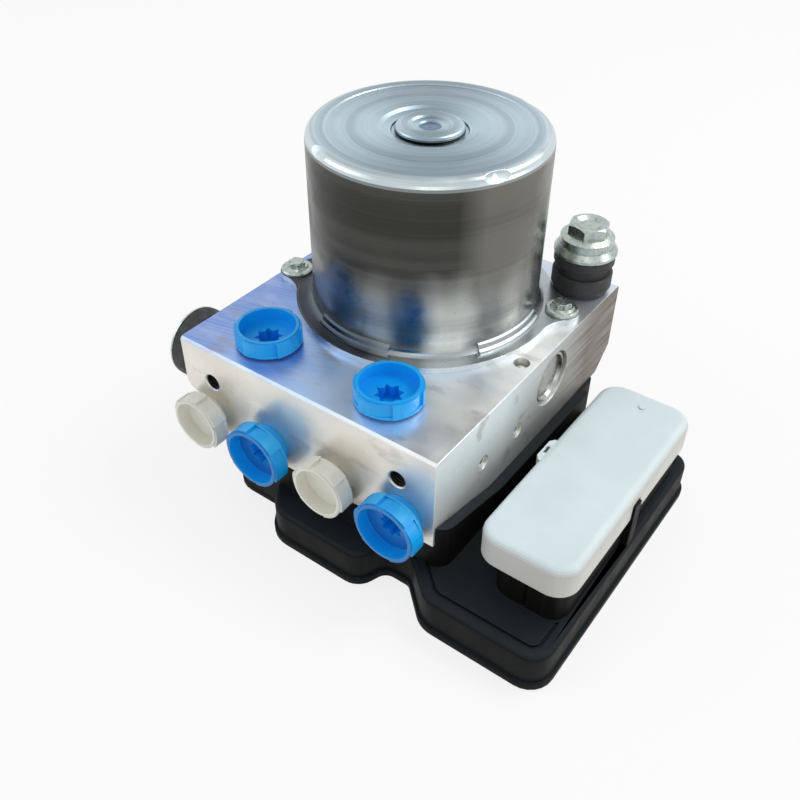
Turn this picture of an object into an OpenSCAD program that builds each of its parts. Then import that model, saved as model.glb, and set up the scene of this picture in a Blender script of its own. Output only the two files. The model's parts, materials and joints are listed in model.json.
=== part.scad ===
// Brake pressure modulator: pump motor on an aluminium valve block on an electronic control unit.
// Millimetres, +Z up. The origin is where the motor axis meets the flat base of the control unit.

/* [Valve block] */
// Distance from the motor can to the left face of the block
can_to_left = 11; // [10:0.5:13]
// Distance from the motor can to the right face of the block
can_to_right = 12.5; // [11:0.5:19]
// Distance from the motor can to the front face of the block
can_to_front = 28.5; // [28:0.5:31]
// Distance from the motor can to the back face of the block
can_to_back = 7; // [5.5:0.5:15.5]
// Height of the block
block_h = 32.5; // [32:0.5:38]
// Size of the slope along the lower back edge
block_foot = 8; // [5:0.5:9]
// Radius of the relief along the lower left edge
relief_r = 4.5; // [3:0.5:6]
// Height of that relief above the underside of the block
relief_h = 12.4; // [10:0.2:13]
// Edge break on the front and back top edges
block_edge = 0.8; // [0.4:0.2:1.2]

/* [Ports and holes] */
// Distance of the top ports from the front face
top_port_inset = 14.7; // [14:0.1:16]
// Distance of the left top port from the motor axis
top_port_left = 23.7; // [22:0.1:25]
// Spacing of the two top ports
top_port_pitch = 46.6; // [44:0.2:48]
// Distance from the left face to the first front port
front_port_from_left = 10.2; // [10:0.1:11]
// Distance from the right face to the last front port
front_port_from_right = 11.1; // [10.9:0.1:12]
// Height of the front ports above the underside of the block
front_port_up = 6.7; // [6.5:0.1:8]
// Bore radius of a large port
large_port_r = 6; // [5.5:0.1:6.2]
// Bore radius of a small port
small_port_r = 5; // [4.5:0.1:5.2]
// Depth of a port
port_depth = 13; // [11:0.5:14]
// Radius of the passage behind a port
passage_r = 1.6; // [1:0.1:2]
// Bore radius of the front mounting threads
front_thread_r = 2.5; // [2:0.1:3.2]
// Width of the countersink of the front threads
front_thread_sink = 0.6; // [0.2:0.1:0.8]
// Depth of the front mounting threads
front_thread_depth = 9; // [6:0.5:9.5]
// Distance of the front threads below the top face
front_thread_drop = 12.9; // [12:0.1:14]
// Distance from the left face to the left front thread
front_thread_from_left = 12; // [11.8:0.1:13]
// Distance from the right face to the right front thread
front_thread_from_right = 12.9; // [11.5:0.1:15.5]

/* [Port plugs] */
// Radius of a large plug at its open rim
large_plug_r = 9.9; // [9:0.1:10.4]
// Radius of a small plug at its open rim
small_plug_r = 8.9; // [8:0.1:9.2]
// Height of a plug's cup
plug_h = 5.6; // [4.5:0.1:7]
// Wall of a plug's cup
plug_wall = 1.1; // [0.8:0.1:1.6]
// Floor of a plug's cup
plug_floor = 1.2; // [0.8:0.1:2]
// Height of the neck under a large front plug's cup
large_neck = 3.9; // [0.6:0.1:4.4]
// Height of the neck under a small front plug's cup
small_neck = 2.7; // [0.6:0.1:4]
// Height of the neck under a top plug's cup
top_neck = 0.8; // [0.4:0.1:3]
// Depth of a plug's shank in its port
shank_l = 9; // [6:0.5:10.5]
// How far the grip ribs stand out
plug_rib = 0.8; // [0.3:0.1:0.9]
// How far the foot of a large plug stands out past its cup
plug_foot = 0.5; // [0.3:0.1:0.9]
// How far the foot of a small plug stands out past its cup
small_foot = 0.4; // [0.3:0.1:0.7]
// Thickness of a plug's foot
plug_foot_t = 0.9; // [0.6:0.1:1.4]
// Radius of the star recess at its points
star_r = 4.6; // [3.4:0.1:4.8]

/* [Pump motor] */
// Outer radius of the motor can
can_r = 37; // [36:0.5:38]
// Height of the can above the block
can_h = 59.3; // [58:0.5:66]
// Sheet thickness of the can
can_wall = 2; // [1.6:0.1:2.2]
// Rounding of the can's top edge
can_round = 3.4; // [2.6:0.1:4]
// Width of the can's mounting flange
flange_w = 5.8; // [5:0.2:6]
// Distance of the motor screws outside the flange's edge
screw_past = 2.5; // [1.7:0.1:3.2]
// Angle of the first motor screw
screw_angle = 21; // [19:0.5:24]
// Radius of the ears around the motor screws
ear_r = 5.7; // [5.4:0.1:6.2]
// Radius of the hollow between an ear and the flange
ear_fillet = 12; // [6:0.5:16]
// Radius of a motor screw's flange
screw_flange_r = 5.4; // [5:0.1:5.6]
// Height of a motor screw's head
screw_head_h = 3.4; // [2.8:0.1:6]
// Length of the four crimp dents on the can's rim
dent_l = 9; // [6:0.5:12]
// Depth of those dents
dent_depth = 0.6; // [0.3:0.1:0.9]
// Thickness of the magnets
magnet_t = 5.75; // [4.95:0.1:6.15]
// Gap between the armature and the magnets
armature_gap = 0.8; // [0.7:0.1:2.2]
// Length of the armature core
armature_l = 24; // [20:0.5:26]
// Number of armature slots
slot_n = 12; // [8:1:14]
// Radius of the motor shaft
shaft_r = 4; // [3:0.1:4.4]
// Radius of the commutator
commutator_r = 10.5; // [9:0.1:12]
// Throw of the eccentric
throw = 0.8; // [0.4:0.1:1]

/* [Pump] */
// Depth of the pump axis below the top face
pump_drop = 12.2; // [12:0.1:12.6]
// Radius of a pump piston
pump_piston_r = 4; // [3:0.1:4.2]
// Outer radius of a pump cylinder
pump_cylinder_r = 7.4; // [6:0.1:7.6]
// Radius of a pump plug
pump_plug_r = 9.5; // [8.5:0.1:9.8]
// Thickness of a pump plug
pump_plug_t = 4; // [3:0.1:5]
// Stroke of a pump piston
pump_stroke = 1.6; // [0.8:0.1:1.8]

/* [Accumulators] */
// Distance of each accumulator's axis inside the can's radius
accumulator_in = 12; // [11.5:0.1:13]
// Depth of the accumulators below the top face
accumulator_drop = 12; // [11:0.1:12.4]
// Radius of an accumulator bore
accumulator_r = 8.5; // [7.5:0.1:8.8]
// Depth of an accumulator bore
accumulator_depth = 26; // [24:0.5:27]

/* [Valves] */
// Distance of the left valves from the left edge of the control unit
valve_from_left = 12; // [11.8:0.1:13]
// Distance of the right valves from the right face of the block
valve_from_right = 14.5; // [14:0.1:17]
// Distance of the inlet row in front of the motor axis
inlet_row = 40; // [38:0.1:41]
// Distance of the outlet row in front of the motor axis
outlet_row = 20; // [19:0.1:21]
// Radius of a valve's body in the block
valve_body_r = 5.5; // [5:0.1:6]
// Depth of a valve's pocket
valve_depth = 10; // [9:0.5:10]
// Radius of a valve's dome
dome_r = 3.6; // [3.4:0.1:4]
// Outer radius of a coil
coil_r = 7.8; // [7:0.1:8]
// Travel of a valve plunger
plunger_travel = 0.35; // [0.2:0.05:0.6]

/* [Control unit] */
// Height of the control unit under the block
ecu_h = 22.5; // [22:0.5:26]
// Height of the ledge around the connector
ledge_h = 13.6; // [13.2:0.1:15]
// Height of the front left lobe
lobe_h = 13; // [12:0.1:13.4]
// Thickness of the cover
cover_t = 3; // [2.5:0.1:3.5]
// Height of the seam between cover and housing
seam_h = 0.4; // [0.2:0.1:0.8]
// Inset of the housing from the cover's edge
housing_inset = 0.9; // [0.4:0.1:1.2]
// Wall of the housing
ecu_wall = 2.4; // [2:0.1:2.6]
// Inset of the housing from the left face of the block
ecu_left_inset = 14; // [13.5:0.1:15]
// Inset of the housing from the back face of the block
ecu_back_inset = 9.5; // [8.5:0.1:10]
// Inset of the control unit from the front face of the block
ecu_front_inset = 0.2; // [0.1:0.1:0.8]
// Corner radius at the front left of the control unit
ecu_corner_r = 9; // [6:0.5:10]
// How far the plinth stands out past the right face of the block
plinth_reach = 3.5; // [2.5:0.1:4.5]
// Reach of the left lobe in front of the block
left_lobe_reach = 11.1; // [10:0.1:13]
// Reach of the right lobe in front of the block
right_lobe_reach = 11.7; // [10:0.1:13]
// Reach of the connector lobe beyond the right face of the block
connector_reach = 44; // [43:0.5:50]
// Inset of the connector lobe from the back face of the block
connector_back = 18.5; // [14:0.5:19]
// Depth of the groove around the connector panel
panel_groove = 0.7; // [0.3:0.1:1]
// Width of that groove
panel_groove_w = 0.9; // [0.6:0.1:1.4]
// Distance of that groove from the edge of the ledge
panel_groove_in = 4.4; // [3.5:0.1:5]
// Height of the collar beside the block
collar_h = 7.5; // [4:0.5:8]
// Length of the collar's slope
collar_l = 27; // [18:0.5:34]
// Height of the collar at the foot of that slope
collar_end_h = 1.3; // [0.6:0.1:2]
// Thickness of the circuit board
board_t = 1.6; // [1:0.1:2]
// Height of the circuit board above the base
board_z = 5; // [4.6:0.1:5.6]

/* [Connector] */
// Width of the connector shroud
shroud_w = 23.1; // [21:0.1:23.3]
// Distance of the shroud from the back edge of the connector lobe
shroud_back = 6.8; // [5.3:0.1:9.3]
// Height of the shroud above the ledge
shroud_h = 20.3; // [19:0.1:22]
// Wall of the shroud
shroud_wall = 1.8; // [1.4:0.1:2.2]
// Corner radius of the shroud
shroud_corner = 5.8; // [5:0.1:8]
// Distance from the right face of the block to the shroud
shroud_gap = 17.3; // [17.1:0.1:18.5]
// Distance of the shroud's front end behind the front face of the block
shroud_front = 3.7; // [2:0.1:4.5]
// Height of the cap from skirt to top
cap_h = 10.1; // [8.8:0.1:12]
// Wall of the cap
cap_wall = 1.3; // [1:0.1:1.6]
// Rounding of the cap's top edge
cap_round = 2.6; // [1.8:0.1:3.4]
// How far the cap stands out past the left side of the shroud
cap_left = 5.8; // [5.2:0.1:6.2]
// Width of a latch post
latch_w = 4.4; // [4:0.2:8]
// Thickness of a latch post
latch_t = 2.2; // [1.8:0.1:2.4]
// Distance of the latch posts behind the front face of the block
latch_back = 43.5; // [38:0.5:46]
// Distance of the latch posts' tips below the top of the cap
latch_drop = 4.6; // [3.6:0.2:6]
// Number of signal pins along the connector
pin_columns = 15; // [9:1:17]

/* [Rubber mounts] */
// Outer radius of the top mount's rubber
rubber_r = 10; // [9.4:0.1:10.2]
// Height of the top mount's rubber
rubber_h = 14; // [12:0.2:16]
// Height of its lower ring
rubber_low = 7.4; // [6:0.2:8]
// Width of the slot between its two rings
rubber_slot = 3; // [2:0.2:4]
// Depth of that slot
rubber_waist = 1.6; // [1:0.1:2]
// Outer radius of the side mount's rubber
side_rubber_r = 12; // [11:0.1:12.4]
// Height of the side mount's rubber
side_rubber_h = 7.9; // [6:0.1:9]
// Distance of the top mount's axis outside the motor flange
mount_past = 9.93; // [9.83:0.01:10.23]
// Angle of the top mount around the motor axis
mount_angle = 42.3; // [42:0.1:42.6]
// Distance of the side mount from the front face of the block
side_mount_front = 13.4; // [13:0.1:14]
// Depth of the side mount below the top face
side_mount_drop = 13; // [12.5:0.1:14]
// Shank radius of the top mount's bolt
bolt_r = 4; // [3:0.1:4.1]
// Shank radius of the side mount's screw
side_screw_r = 3; // [2.5:0.1:3.2]
// Width of the bolt's hexagon across its flats
bolt_flats = 12; // [10:0.5:13]
// Height of the bolt's head
bolt_head_h = 5; // [4:0.1:8]
// Radius of the bolt's flange
bolt_flange_r = 8.8; // [8:0.1:9]
// Thickness of the washer at its rim
washer_t = 1.2; // [0.8:0.1:2]
// Height of the washer up to its seat
washer_h = 5.2; // [3.6:0.1:6]

/* [Hidden] */

// Resolution of round surfaces
$fn = 64;
// Resolution of small round surfaces
small_fn = 32;
// Clearance between pieces that fit without moving
fit_gap = 0.05;
// Clearance between pieces that run or slide
run_gap = 0.06;
// Gap at the end of a piece that seats against another
seat_gap = 0.1;
// Overrun of a cutting tool
over = 1;

x_left = -can_r - can_to_left;
x_right = can_r + can_to_right;
y_front = -can_r - can_to_front;
y_back = can_r + can_to_back;
z_top = ecu_h + block_h;
block_w = x_right - x_left;
block_d = y_back - y_front;

// Places of the ports and their plugs
top_port_x = [-top_port_left, top_port_pitch - top_port_left];
top_port_y = y_front + top_port_inset;
front_port_pitch = (block_w - front_port_from_left - front_port_from_right) / 3;
front_port_x = [for (i = [0:3]) x_left + front_port_from_left + i * front_port_pitch];
front_port_r = [small_port_r, large_port_r, small_port_r, large_port_r];
front_plug_r = [small_plug_r, large_plug_r, small_plug_r, large_plug_r];
front_plug_neck = [small_neck, large_neck, small_neck, large_neck];
front_plug_foot = [small_foot, plug_foot, small_foot, plug_foot];
front_port_z = ecu_h + front_port_up;
front_thread_x = [x_left + front_thread_from_left, x_right - front_thread_from_right];
front_thread_z = z_top - front_thread_drop;
passage_l = 5;
collar_w = 1.2;
star_depth = 3;
top_rib_turn = [27, 12];
front_rib_turn = [20, 35, 42, 43];
star_waist = 0.68;

// Cross drillings closed by balls at the right face and the top
gallery_r = 1.9;
gallery_step = 1.5;
ball_r = 2.5;
ball_rest = sqrt(ball_r * ball_r - gallery_r * gallery_r);
ball_inset = 0.6;
bleed_inset = 1.4;
bleed_depth = 14;
bleed_in = 4.6;
bleed_y = -13.2;

// Pump layout
pump_z = z_top - pump_drop;
bearing_r = 11;
bearing_l = 7;
needle_r = 0.95;
needle_n = 16;
journal_r = 5.9;
needle_circle_r = journal_r + needle_r + fit_gap;
ring_in_r = needle_circle_r + needle_r + fit_gap;
ring_t = 1;
ring_r = ring_in_r + ring_t;
ring_l = 9;
eccentric_z = pump_z - ring_l / 2;
chamber_r = ring_r + throw + 0.6;
chamber_depth = 22;
piston_tip = ring_r + throw + seat_gap;
piston_l = 14;
piston_cup = 2;
cylinder_seat = chamber_r + 3;
cylinder_l = 19;
cylinder_end_t = 1.8;
cylinder_hole_r = 1;
cylinder_hole_in = 5;
plug_inset = 0.8;
plug_recess = pump_plug_t + plug_inset;
pump_spring_z = piston_tip + piston_l + seat_gap;
pump_spring_l = cylinder_seat + cylinder_l - cylinder_end_t - pump_spring_z - seat_gap;

// Accumulator layout
accumulator_x = can_r - accumulator_in;
accumulator_z = z_top - accumulator_drop;
accumulator_cap_t = 3;
accumulator_inset = 0.6;
accumulator_piston_l = 9;
accumulator_floor_y = y_back - accumulator_depth;
accumulator_piston_y = accumulator_floor_y + 0.3;
accumulator_web = 2;
accumulator_wall = 1.3;
accumulator_spring_y = accumulator_piston_y + accumulator_web + seat_gap;
accumulator_spring_l = y_back - accumulator_inset - accumulator_cap_t - accumulator_spring_y - seat_gap;

// Valve layout, with the drilling that joins each row
valve_left_x = x_left + ecu_left_inset + valve_from_left;
valve_pitch = (x_right - valve_from_right - valve_left_x) / 3;
valve_x = [for (i = [0:3]) valve_left_x + i * valve_pitch];
valve_passage_r = 1.2;
valve_passage_l = 4;
gallery_z = ecu_h + valve_depth + valve_passage_l;
gallery_spots = [[-inlet_row, gallery_z], [-outlet_row, gallery_z - gallery_step]];
dome_h = 11;
dome_wall = 0.8;
dome_floor = dome_wall - dome_h;
chamber_top = 4;
plunger_l = 8.6;
plunger_r = dome_r - dome_wall - run_gap;
valve_pin_r = 0.7;
valve_pin_l = 2.8;
valve_space = chamber_top - dome_floor - plunger_l - seat_gap;
valve_spring_r = 1.3;
valve_wire_r = 0.22;
valve_spring_l = valve_space - 2 * seat_gap;
coil_gap = 0.3;
coil_l = 10;
coil_z = ecu_h - coil_l - 1.6;
coil_flange_t = 1.2;
coil_waist = 0.6;
coil_pin_w = 0.8;

// Motor layout, heights above the top face of the block
flange_r = can_r + flange_w;
screw_circle_r = flange_r + screw_past;
magnet_in_r = can_r - can_wall - fit_gap - magnet_t;
armature_r = magnet_in_r - armature_gap;
flange_t = 2;
seal_circle_r = can_r + 2.6;
seal_r = 0.74;
seal_groove_w = 2.4;
seal_groove_depth = 1.5;
brush_plate_t = 3;
commutator_z = 6;
commutator_l = 12;
bar_gap = 0.6;
armature_z = 22;
winding_overhang = 3.6;
core_hub_r = 12.6;
slot_w = 5;
slot_mouth = 1.6;
slot_in_r = 14;
slot_out_r = armature_r - 1.8;
magnet_n = 4;
magnet_span = 76;
magnet_overhang = 2;
screw_angles = [screw_angle, screw_angle + 180];
ear_blend = 0.05;
screw_r = 3;
screw_depth = 12;
screw_flange_t = 1.2;
screw_boss_r = 4;
screw_boss_t = 0.9;
screw_lobe_r = 0.8;
screw_lobe_circle_r = 2.2;
dent_angle = -25;
dent_ball_r = dent_l * dent_l / (6 * dent_depth);
bulge_angles = [-114, -30];
bulge_span = 42;

// Crown of the can: rim, shallow step, dish and bearing button
step_in = 6;
step_r = can_r - step_in;
step_drop = 0.35;
step_w = 6;
dish_r = 14.6;
dish_drop = 1.1;
button_r = 10.5;
button_drop = 2.2;
bush_drop = 3.6;
button_round = 1.4;
button_rise = 0.2;
button_rim = 6.3;
button_sink = 0.6;
dimple_r = 3.6;
dimple_sink = 0.5;
bush_r = button_r - can_wall - fit_gap;
bush_l = 5;
bush_z = can_h - can_wall - bush_l;

// Bearing at the block end of the shaft
ball_circle_r = (bearing_r + shaft_r) / 2;
bearing_ball_r = 1.6;
bearing_ball_n = 8;
race_gap = 1.1;

// Brushes and their holders
brush_w = 6;
brush_t = 5;
brush_l = 10;
brush_x = commutator_r + 0.12;
brush_z = commutator_z + 3.5;
brush_nose = 1.6;
holder_wall = 1.2;
brush_spring_l = 7;
brush_spring_r = 1.7;
brush_wire_r = 0.3;
terminal_in = 11;
terminal_y = can_r - terminal_in;
terminal_gap = 2.4;
terminal_r = 1;
terminal_hole_r = 4.4;
terminal_end = 2;

// Control unit outline, counter-clockwise from the back left corner
ecu_x0 = x_left + ecu_left_inset;
ecu_x1 = x_right + connector_reach;
ecu_side = x_right + 1;
ecu_y0 = y_front + ecu_front_inset;
left_lobe_y = y_front - left_lobe_reach;
right_lobe_y = y_front - right_lobe_reach;
ecu_y1 = y_back - ecu_back_inset;
ecu_notch_y = y_front - 1.2;
ecu_connector_y = y_back - connector_back;
lobe_post_x = front_port_x[2] + front_port_pitch / 2;
lobe_past_post = 4.3;
lobe_x0 = front_port_x[1] - 0.1;
lobe_x1 = lobe_post_x + lobe_past_post;
lobe_slope = 7.5;
notch_slope = 3.5;
notch_l = 8.5;
right_lobe_slope = 11.5;
notch_x0 = lobe_x1 + notch_slope;
notch_x1 = notch_x0 + notch_l;
right_lobe_x = notch_x1 + right_lobe_slope;
ecu_corners = [
    [ecu_x0, ecu_y1],
    [ecu_x0, ecu_y0],
    [lobe_x0, ecu_y0],
    [lobe_x0 + lobe_slope, left_lobe_y],
    [lobe_x1, left_lobe_y],
    [notch_x0, ecu_notch_y],
    [notch_x1, ecu_notch_y],
    [right_lobe_x, right_lobe_y],
    [ecu_x1, right_lobe_y],
    [ecu_x1, ecu_connector_y],
    [ecu_side, ecu_connector_y],
    [ecu_side, ecu_y1]
];
ecu_radii = [4, ecu_corner_r, 2, 11, 7, 4, 3, 10, 8, 7, 2, 4];
arc_steps = 6;
housing_z = cover_t;
roof_t = 2.4;
ledge_x = notch_x0 + 2;

// Plinth under the block, with the seat for the gasket
plinth_x0 = ecu_x0 + housing_inset;
plinth_x1 = x_right + plinth_reach;
plinth_y1 = ecu_y1 - housing_inset;
plinth_step_y = ecu_connector_y - housing_inset;
plinth_corners = [
    [plinth_x0, plinth_y1],
    [plinth_x0, ecu_y0],
    [plinth_x1, ecu_y0],
    [plinth_x1, plinth_step_y],
    [ecu_side, plinth_step_y],
    [ecu_side, plinth_y1]
];
plinth_radii = [3, ecu_corner_r, 5, 0.6, 0.6, 3];
seat_x1 = x_right - 0.5;
seat_y0 = y_front + 0.9;
seat_corner = 3;
rim_w = 3;
gasket_w = 1.5;
gasket_h = 1;
collar_gap = 0.3;
collar_tail = 5.5;

// Screws, board and what stands on the board
post_r = 4.6;
ecu_screw_r = 2.2;
ecu_screw_head_r = 3.9;
ecu_screw_head_h = 3.4;
ecu_screw_seat = 15;
ecu_screw_grip = 8;
ecu_socket_r = 2;
pocket_gap = 0.3;
ecu_screw_inset = 7;
post_left = 6;
post_right = 9.5;
post_back = 7.5;
ecu_screws_at = [
    [front_port_x[0] + front_port_pitch / 2, y_front + ecu_screw_inset],
    [lobe_post_x, y_front + ecu_screw_inset],
    [ecu_x0 + post_left, ecu_y1 - post_back],
    [ecu_side - post_right, ecu_y1 - post_back]
];
board_top = board_z + board_t;
board_gap = 0.4;
parts_back = 30.8;
parts_y = ecu_y1 - housing_inset - ecu_wall - board_gap - parts_back;
chips = [[-22, 0, 14, 14, 1.6], [2, 0, 8, 8, 1.4], [12, 10, 10, 10, 6]];
driver_n = 4;
driver_pitch = 6.5;
driver_at = [16, -6];
driver_size = [4.6, 6, 1.6];
capacitor_in = 8;
capacitor_pitch = 11;
capacitor_x = [for (i = [0:1]) seat_x1 - capacitor_in - i * capacitor_pitch];
capacitor_y = 12;
capacitor_r = 4.4;
capacitor_h = 9;

// Connector layout
shroud_x0 = x_right + shroud_gap;
shroud_x1 = shroud_x0 + shroud_w;
shroud_y0 = y_front + shroud_front;
shroud_y1 = ecu_connector_y - shroud_back;
shroud_cx = (shroud_x0 + shroud_x1) / 2;
shroud_cy = (shroud_y0 + shroud_y1) / 2;
slit_w = 0.9;
slit_depth = 0.5;
cap_side_gap = 0.2;
cap_seat_gap = 0.3;
cap_top = ledge_h + shroud_h + cap_seat_gap + cap_wall;
cap_z = cap_top - cap_h;
cap_x0 = shroud_x0 - cap_left;
cap_x1 = shroud_x1 + cap_side_gap + cap_wall;
cap_y0 = shroud_y0 - cap_side_gap - cap_wall;
cap_y1 = shroud_y1 + cap_side_gap + cap_wall;
cap_corner = shroud_corner + cap_side_gap + cap_wall;
cap_inner_round = 0.5;
gate_left = 2.2;
gate_back = 7.7;
gate_at = [shroud_cx - gate_left, cap_y1 - gate_back];
gate_r = 1.1;
gate_h = 0.35;
latch_y = y_front + latch_back;
latch_top = cap_top - latch_drop;
latch_inset = 0.4;
latch_x = [cap_x0 + latch_inset, shroud_x1];
latch_gap = 0.3;
ear_out = 1.2;
ear_slope = 1.6;
ear_drop = 0.7;
ear_slit_w = 1;
ear_slit_l = 3.2;
horn_r = 1.2;
pin_w = 0.8;
pin_pitch = 4;
pin_row_pitch = 7;
pin_h = 8;
pin_tip = ledge_h + pin_h;
blade_w = 4;
blade_inset = 6;

// Mount layout
top_mount_r = flange_r + mount_past;
top_mount_x = top_mount_r * cos(mount_angle);
top_mount_y = top_mount_r * sin(mount_angle);
side_mount_y = y_front + side_mount_front;
side_mount_z = z_top - side_mount_drop;
top_bolt_depth = 14;
side_screw_depth = 8.7;
side_hole_depth = 9;
sleeve_wall = 1.2;
sleeve_gap = 0.1;
shank_gap = 0.15;
rubber_edge = 0.5;
rubber_foot = 1;
head_gap = 0.02;
washer_r = rubber_r + 0.4;
washer_cone_h = 3;
washer_cone_r = bolt_flange_r + 0.4;
hexagon_r = bolt_flats / 2 / cos(30);
bolt_flange_t = 0.45;
bolt_cone_h = 1.4;
bolt_corner = 0.4;
bolt_turn = 45;
bolt_dish = 0.9;
side_flange_r = side_rubber_r - 0.1;
side_flange_t = 0.9;
side_head_r = 5.6;
side_head_h = 2.4;
side_socket_r = 2.3;

// Points of an arc
function arc(c, r, a0, a1, n) = [for (i = [0:n]) c + r * [cos(a0 + (a1 - a0) * i / n), sin(a0 + (a1 - a0) * i / n)]];

// Plane geometry of an outline with rounded corners
function unit(v) = v / norm(v);
function across(v) = [-v[1], v[0]];
function cross2(a, b) = a[0] * b[1] - a[1] * b[0];
function meet(p, d, q, e) = p + d * (cross2(q - p, e) / cross2(d, e));
function before(v, i) = v[(i + len(v) - 1) % len(v)];
function after(v, i) = v[(i + 1) % len(v)];
function inset_corners(v, d) = [
    for (i = [0:len(v) - 1])
        let (d0 = unit(v[i] - before(v, i)), d1 = unit(after(v, i) - v[i]))
        meet(before(v, i) + d * across(d0), d0, v[i] + d * across(d1), d1)
];
function rounded(v, radii, d) = [
    for (i = [0:len(v) - 1])
        let (d0 = unit(v[i] - before(v, i)), d1 = unit(after(v, i) - v[i]))
        let (side = sign(cross2(d0, d1)), turn = acos(d0 * d1), r = max(0.4, radii[i] - side * d))
        let (start = v[i] - d0 * r * tan(turn / 2), c = start + side * r * across(d0))
        let (a0 = atan2(start[1] - c[1], start[0] - c[0]))
        for (k = [0:arc_steps]) c + r * [cos(a0 + side * turn * k / arc_steps), sin(a0 + side * turn * k / arc_steps)]
];
function box_corners(x0, x1, y0, y1) = [[x0, y1], [x0, y0], [x1, y0], [x1, y1]];
function side_reach(side) = side > 0 ? x_right : -x_left;

module ecu_shape(d) {
    polygon(rounded(inset_corners(ecu_corners, d), ecu_radii, d));
}

module plinth_shape() {
    polygon(rounded(plinth_corners, plinth_radii, 0));
}

// Rounded rectangle with all corners alike
module plate_shape(x0, x1, y0, y1, r) {
    polygon(rounded(box_corners(x0, x1, y0, y1), [r, r, r, r], 0));
}

// Seat of the block on the control unit, shrunk by d
module seat_shape(d) {
    plate_shape(plinth_x0 + d, seat_x1 - d, seat_y0 + d, plinth_y1 - d, seat_corner);
}

// Outline of the connector shroud, grown by d
module shroud_shape(d) {
    plate_shape(shroud_x0 - d, shroud_x1 + d, shroud_y0 - d, shroud_y1 + d, shroud_corner + d);
}

// Places a child on a face, with its own Z pointing outwards
module facing_front(x, z) { translate([x, y_front, z]) rotate([90, 0, 0]) children(); }
module facing_back(x, z) { translate([x, y_back, z]) rotate([-90, 0, 0]) children(); }
module facing_right(y, z) { translate([x_right, y, z]) rotate([0, 90, 0]) children(); }
module facing_left(y, z) { translate([x_left, y, z]) rotate([0, -90, 0]) children(); }
module pump_side(side) {
    translate([0, 0, pump_z]) mirror([side < 0 ? 1 : 0, 0, 0]) rotate([0, 90, 0]) children();
}

// Cylinder sunk into a face by depth
module sunk(r, depth) { translate([0, 0, -depth]) cylinder(r = r, h = depth + over); }

// Coil spring standing on z = 0, one closed tube swept along a helix
module spring(r, wire, length, turns, steps = 12, sides = 6) {
    n = turns * steps;
    rise = (length - 2 * wire) / n;
    centre = [for (i = [0:n]) [r * cos(360 * i / steps), r * sin(360 * i / steps), wire + rise * i]];
    pts = [
        for (i = [0:n]) for (k = [0:sides - 1])
            let (a = 360 * i / steps, b = 360 * k / sides)
            centre[i] + wire * [cos(a) * cos(b), sin(a) * cos(b), sin(b)]
    ];
    sides_f = [
        for (i = [0:n - 1]) for (k = [0:sides - 1])
            let (p = i * sides + k, q = i * sides + (k + 1) % sides)
            each [[p, p + sides, q + sides], [p, q + sides, q]]
    ];
    ends = [[for (k = [0:sides - 1]) k], [for (k = [sides - 1:-1:0]) n * sides + k]];
    polyhedron(points = pts, faces = concat(sides_f, ends), convexity = 10);
}

// Aluminium block with its bores
module valve_block() {
    color("#c6c8c6") difference() {
        translate([x_left, 0, 0]) rotate([90, 0, 90]) linear_extrude(block_w) polygon([
            [y_front, ecu_h],
            [y_back - block_foot, ecu_h],
            [y_back, ecu_h + block_foot],
            [y_back, z_top - block_edge],
            [y_back - block_edge, z_top],
            [y_front + block_edge, z_top],
            [y_front, z_top - block_edge]
        ]);
        block_relief();
        motor_cavity();
        port_bores();
        fixing_holes();
        for (side = [-1, 1]) {
            pump_bore(side);
            accumulator_bore(side);
        }
        valve_pockets();
        galleries();
    }
}

module block_relief() {
    translate([x_left, y_back + over, ecu_h]) rotate([90, 0, 0]) linear_extrude(block_d + 2 * over)
        polygon(concat(
            [[-over, -over], [relief_r, -over]],
            arc([relief_r, relief_h + relief_r], relief_r, 270, 180, arc_steps),
            [[-over, relief_h + relief_r]]
        ));
}

module motor_cavity() {
    translate([0, 0, z_top]) {
        sunk(bearing_r + fit_gap, bearing_l);
        sunk(chamber_r, chamber_depth);
        rotate_extrude() translate([seal_circle_r - seal_groove_w / 2, -seal_groove_depth])
            square([seal_groove_w, seal_groove_depth + over]);
    }
    translate([0, terminal_y, ecu_h - over]) cylinder(r = terminal_hole_r, h = block_h + 2 * over);
}

module port_bores() {
    for (x = top_port_x) translate([x, top_port_y, z_top]) {
        sunk(large_port_r, port_depth);
        sunk(passage_r, port_depth + passage_l);
    }
    for (i = [0:3]) facing_front(front_port_x[i], front_port_z) {
        sunk(front_port_r[i], port_depth);
        sunk(passage_r, port_depth + passage_l);
    }
}

module fixing_holes() {
    for (x = front_thread_x) facing_front(x, front_thread_z) {
        sunk(front_thread_r, front_thread_depth);
        translate([0, 0, -front_thread_sink])
            cylinder(r1 = front_thread_r, r2 = front_thread_r + 2 * front_thread_sink, h = 2 * front_thread_sink);
    }
    for (a = screw_angles) rotate(a)
        translate([screw_circle_r, 0, z_top]) sunk(screw_r + fit_gap, screw_depth + over);
    for (p = ecu_screws_at) translate([p[0], p[1], ecu_h - over])
        cylinder(r = ecu_screw_r + fit_gap, h = ecu_screw_grip + 2 * over);
    translate([top_mount_x, top_mount_y, z_top]) sunk(bolt_r + fit_gap, top_bolt_depth + over);
    facing_left(side_mount_y, side_mount_z) sunk(side_screw_r + fit_gap, side_hole_depth);
}

module pump_bore(side) {
    pump_side(side) {
        translate([0, 0, side_reach(side) - plug_recess]) cylinder(r = pump_plug_r, h = plug_recess + over);
        translate([0, 0, cylinder_seat]) cylinder(r = pump_cylinder_r + fit_gap, h = side_reach(side) - cylinder_seat);
        cylinder(r = pump_piston_r + shank_gap, h = side_reach(side));
    }
}

module accumulator_bore(side) {
    facing_back(side * accumulator_x, accumulator_z) {
        sunk(accumulator_r, accumulator_depth);
        sunk(passage_r, accumulator_depth + passage_l);
    }
}

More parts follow.
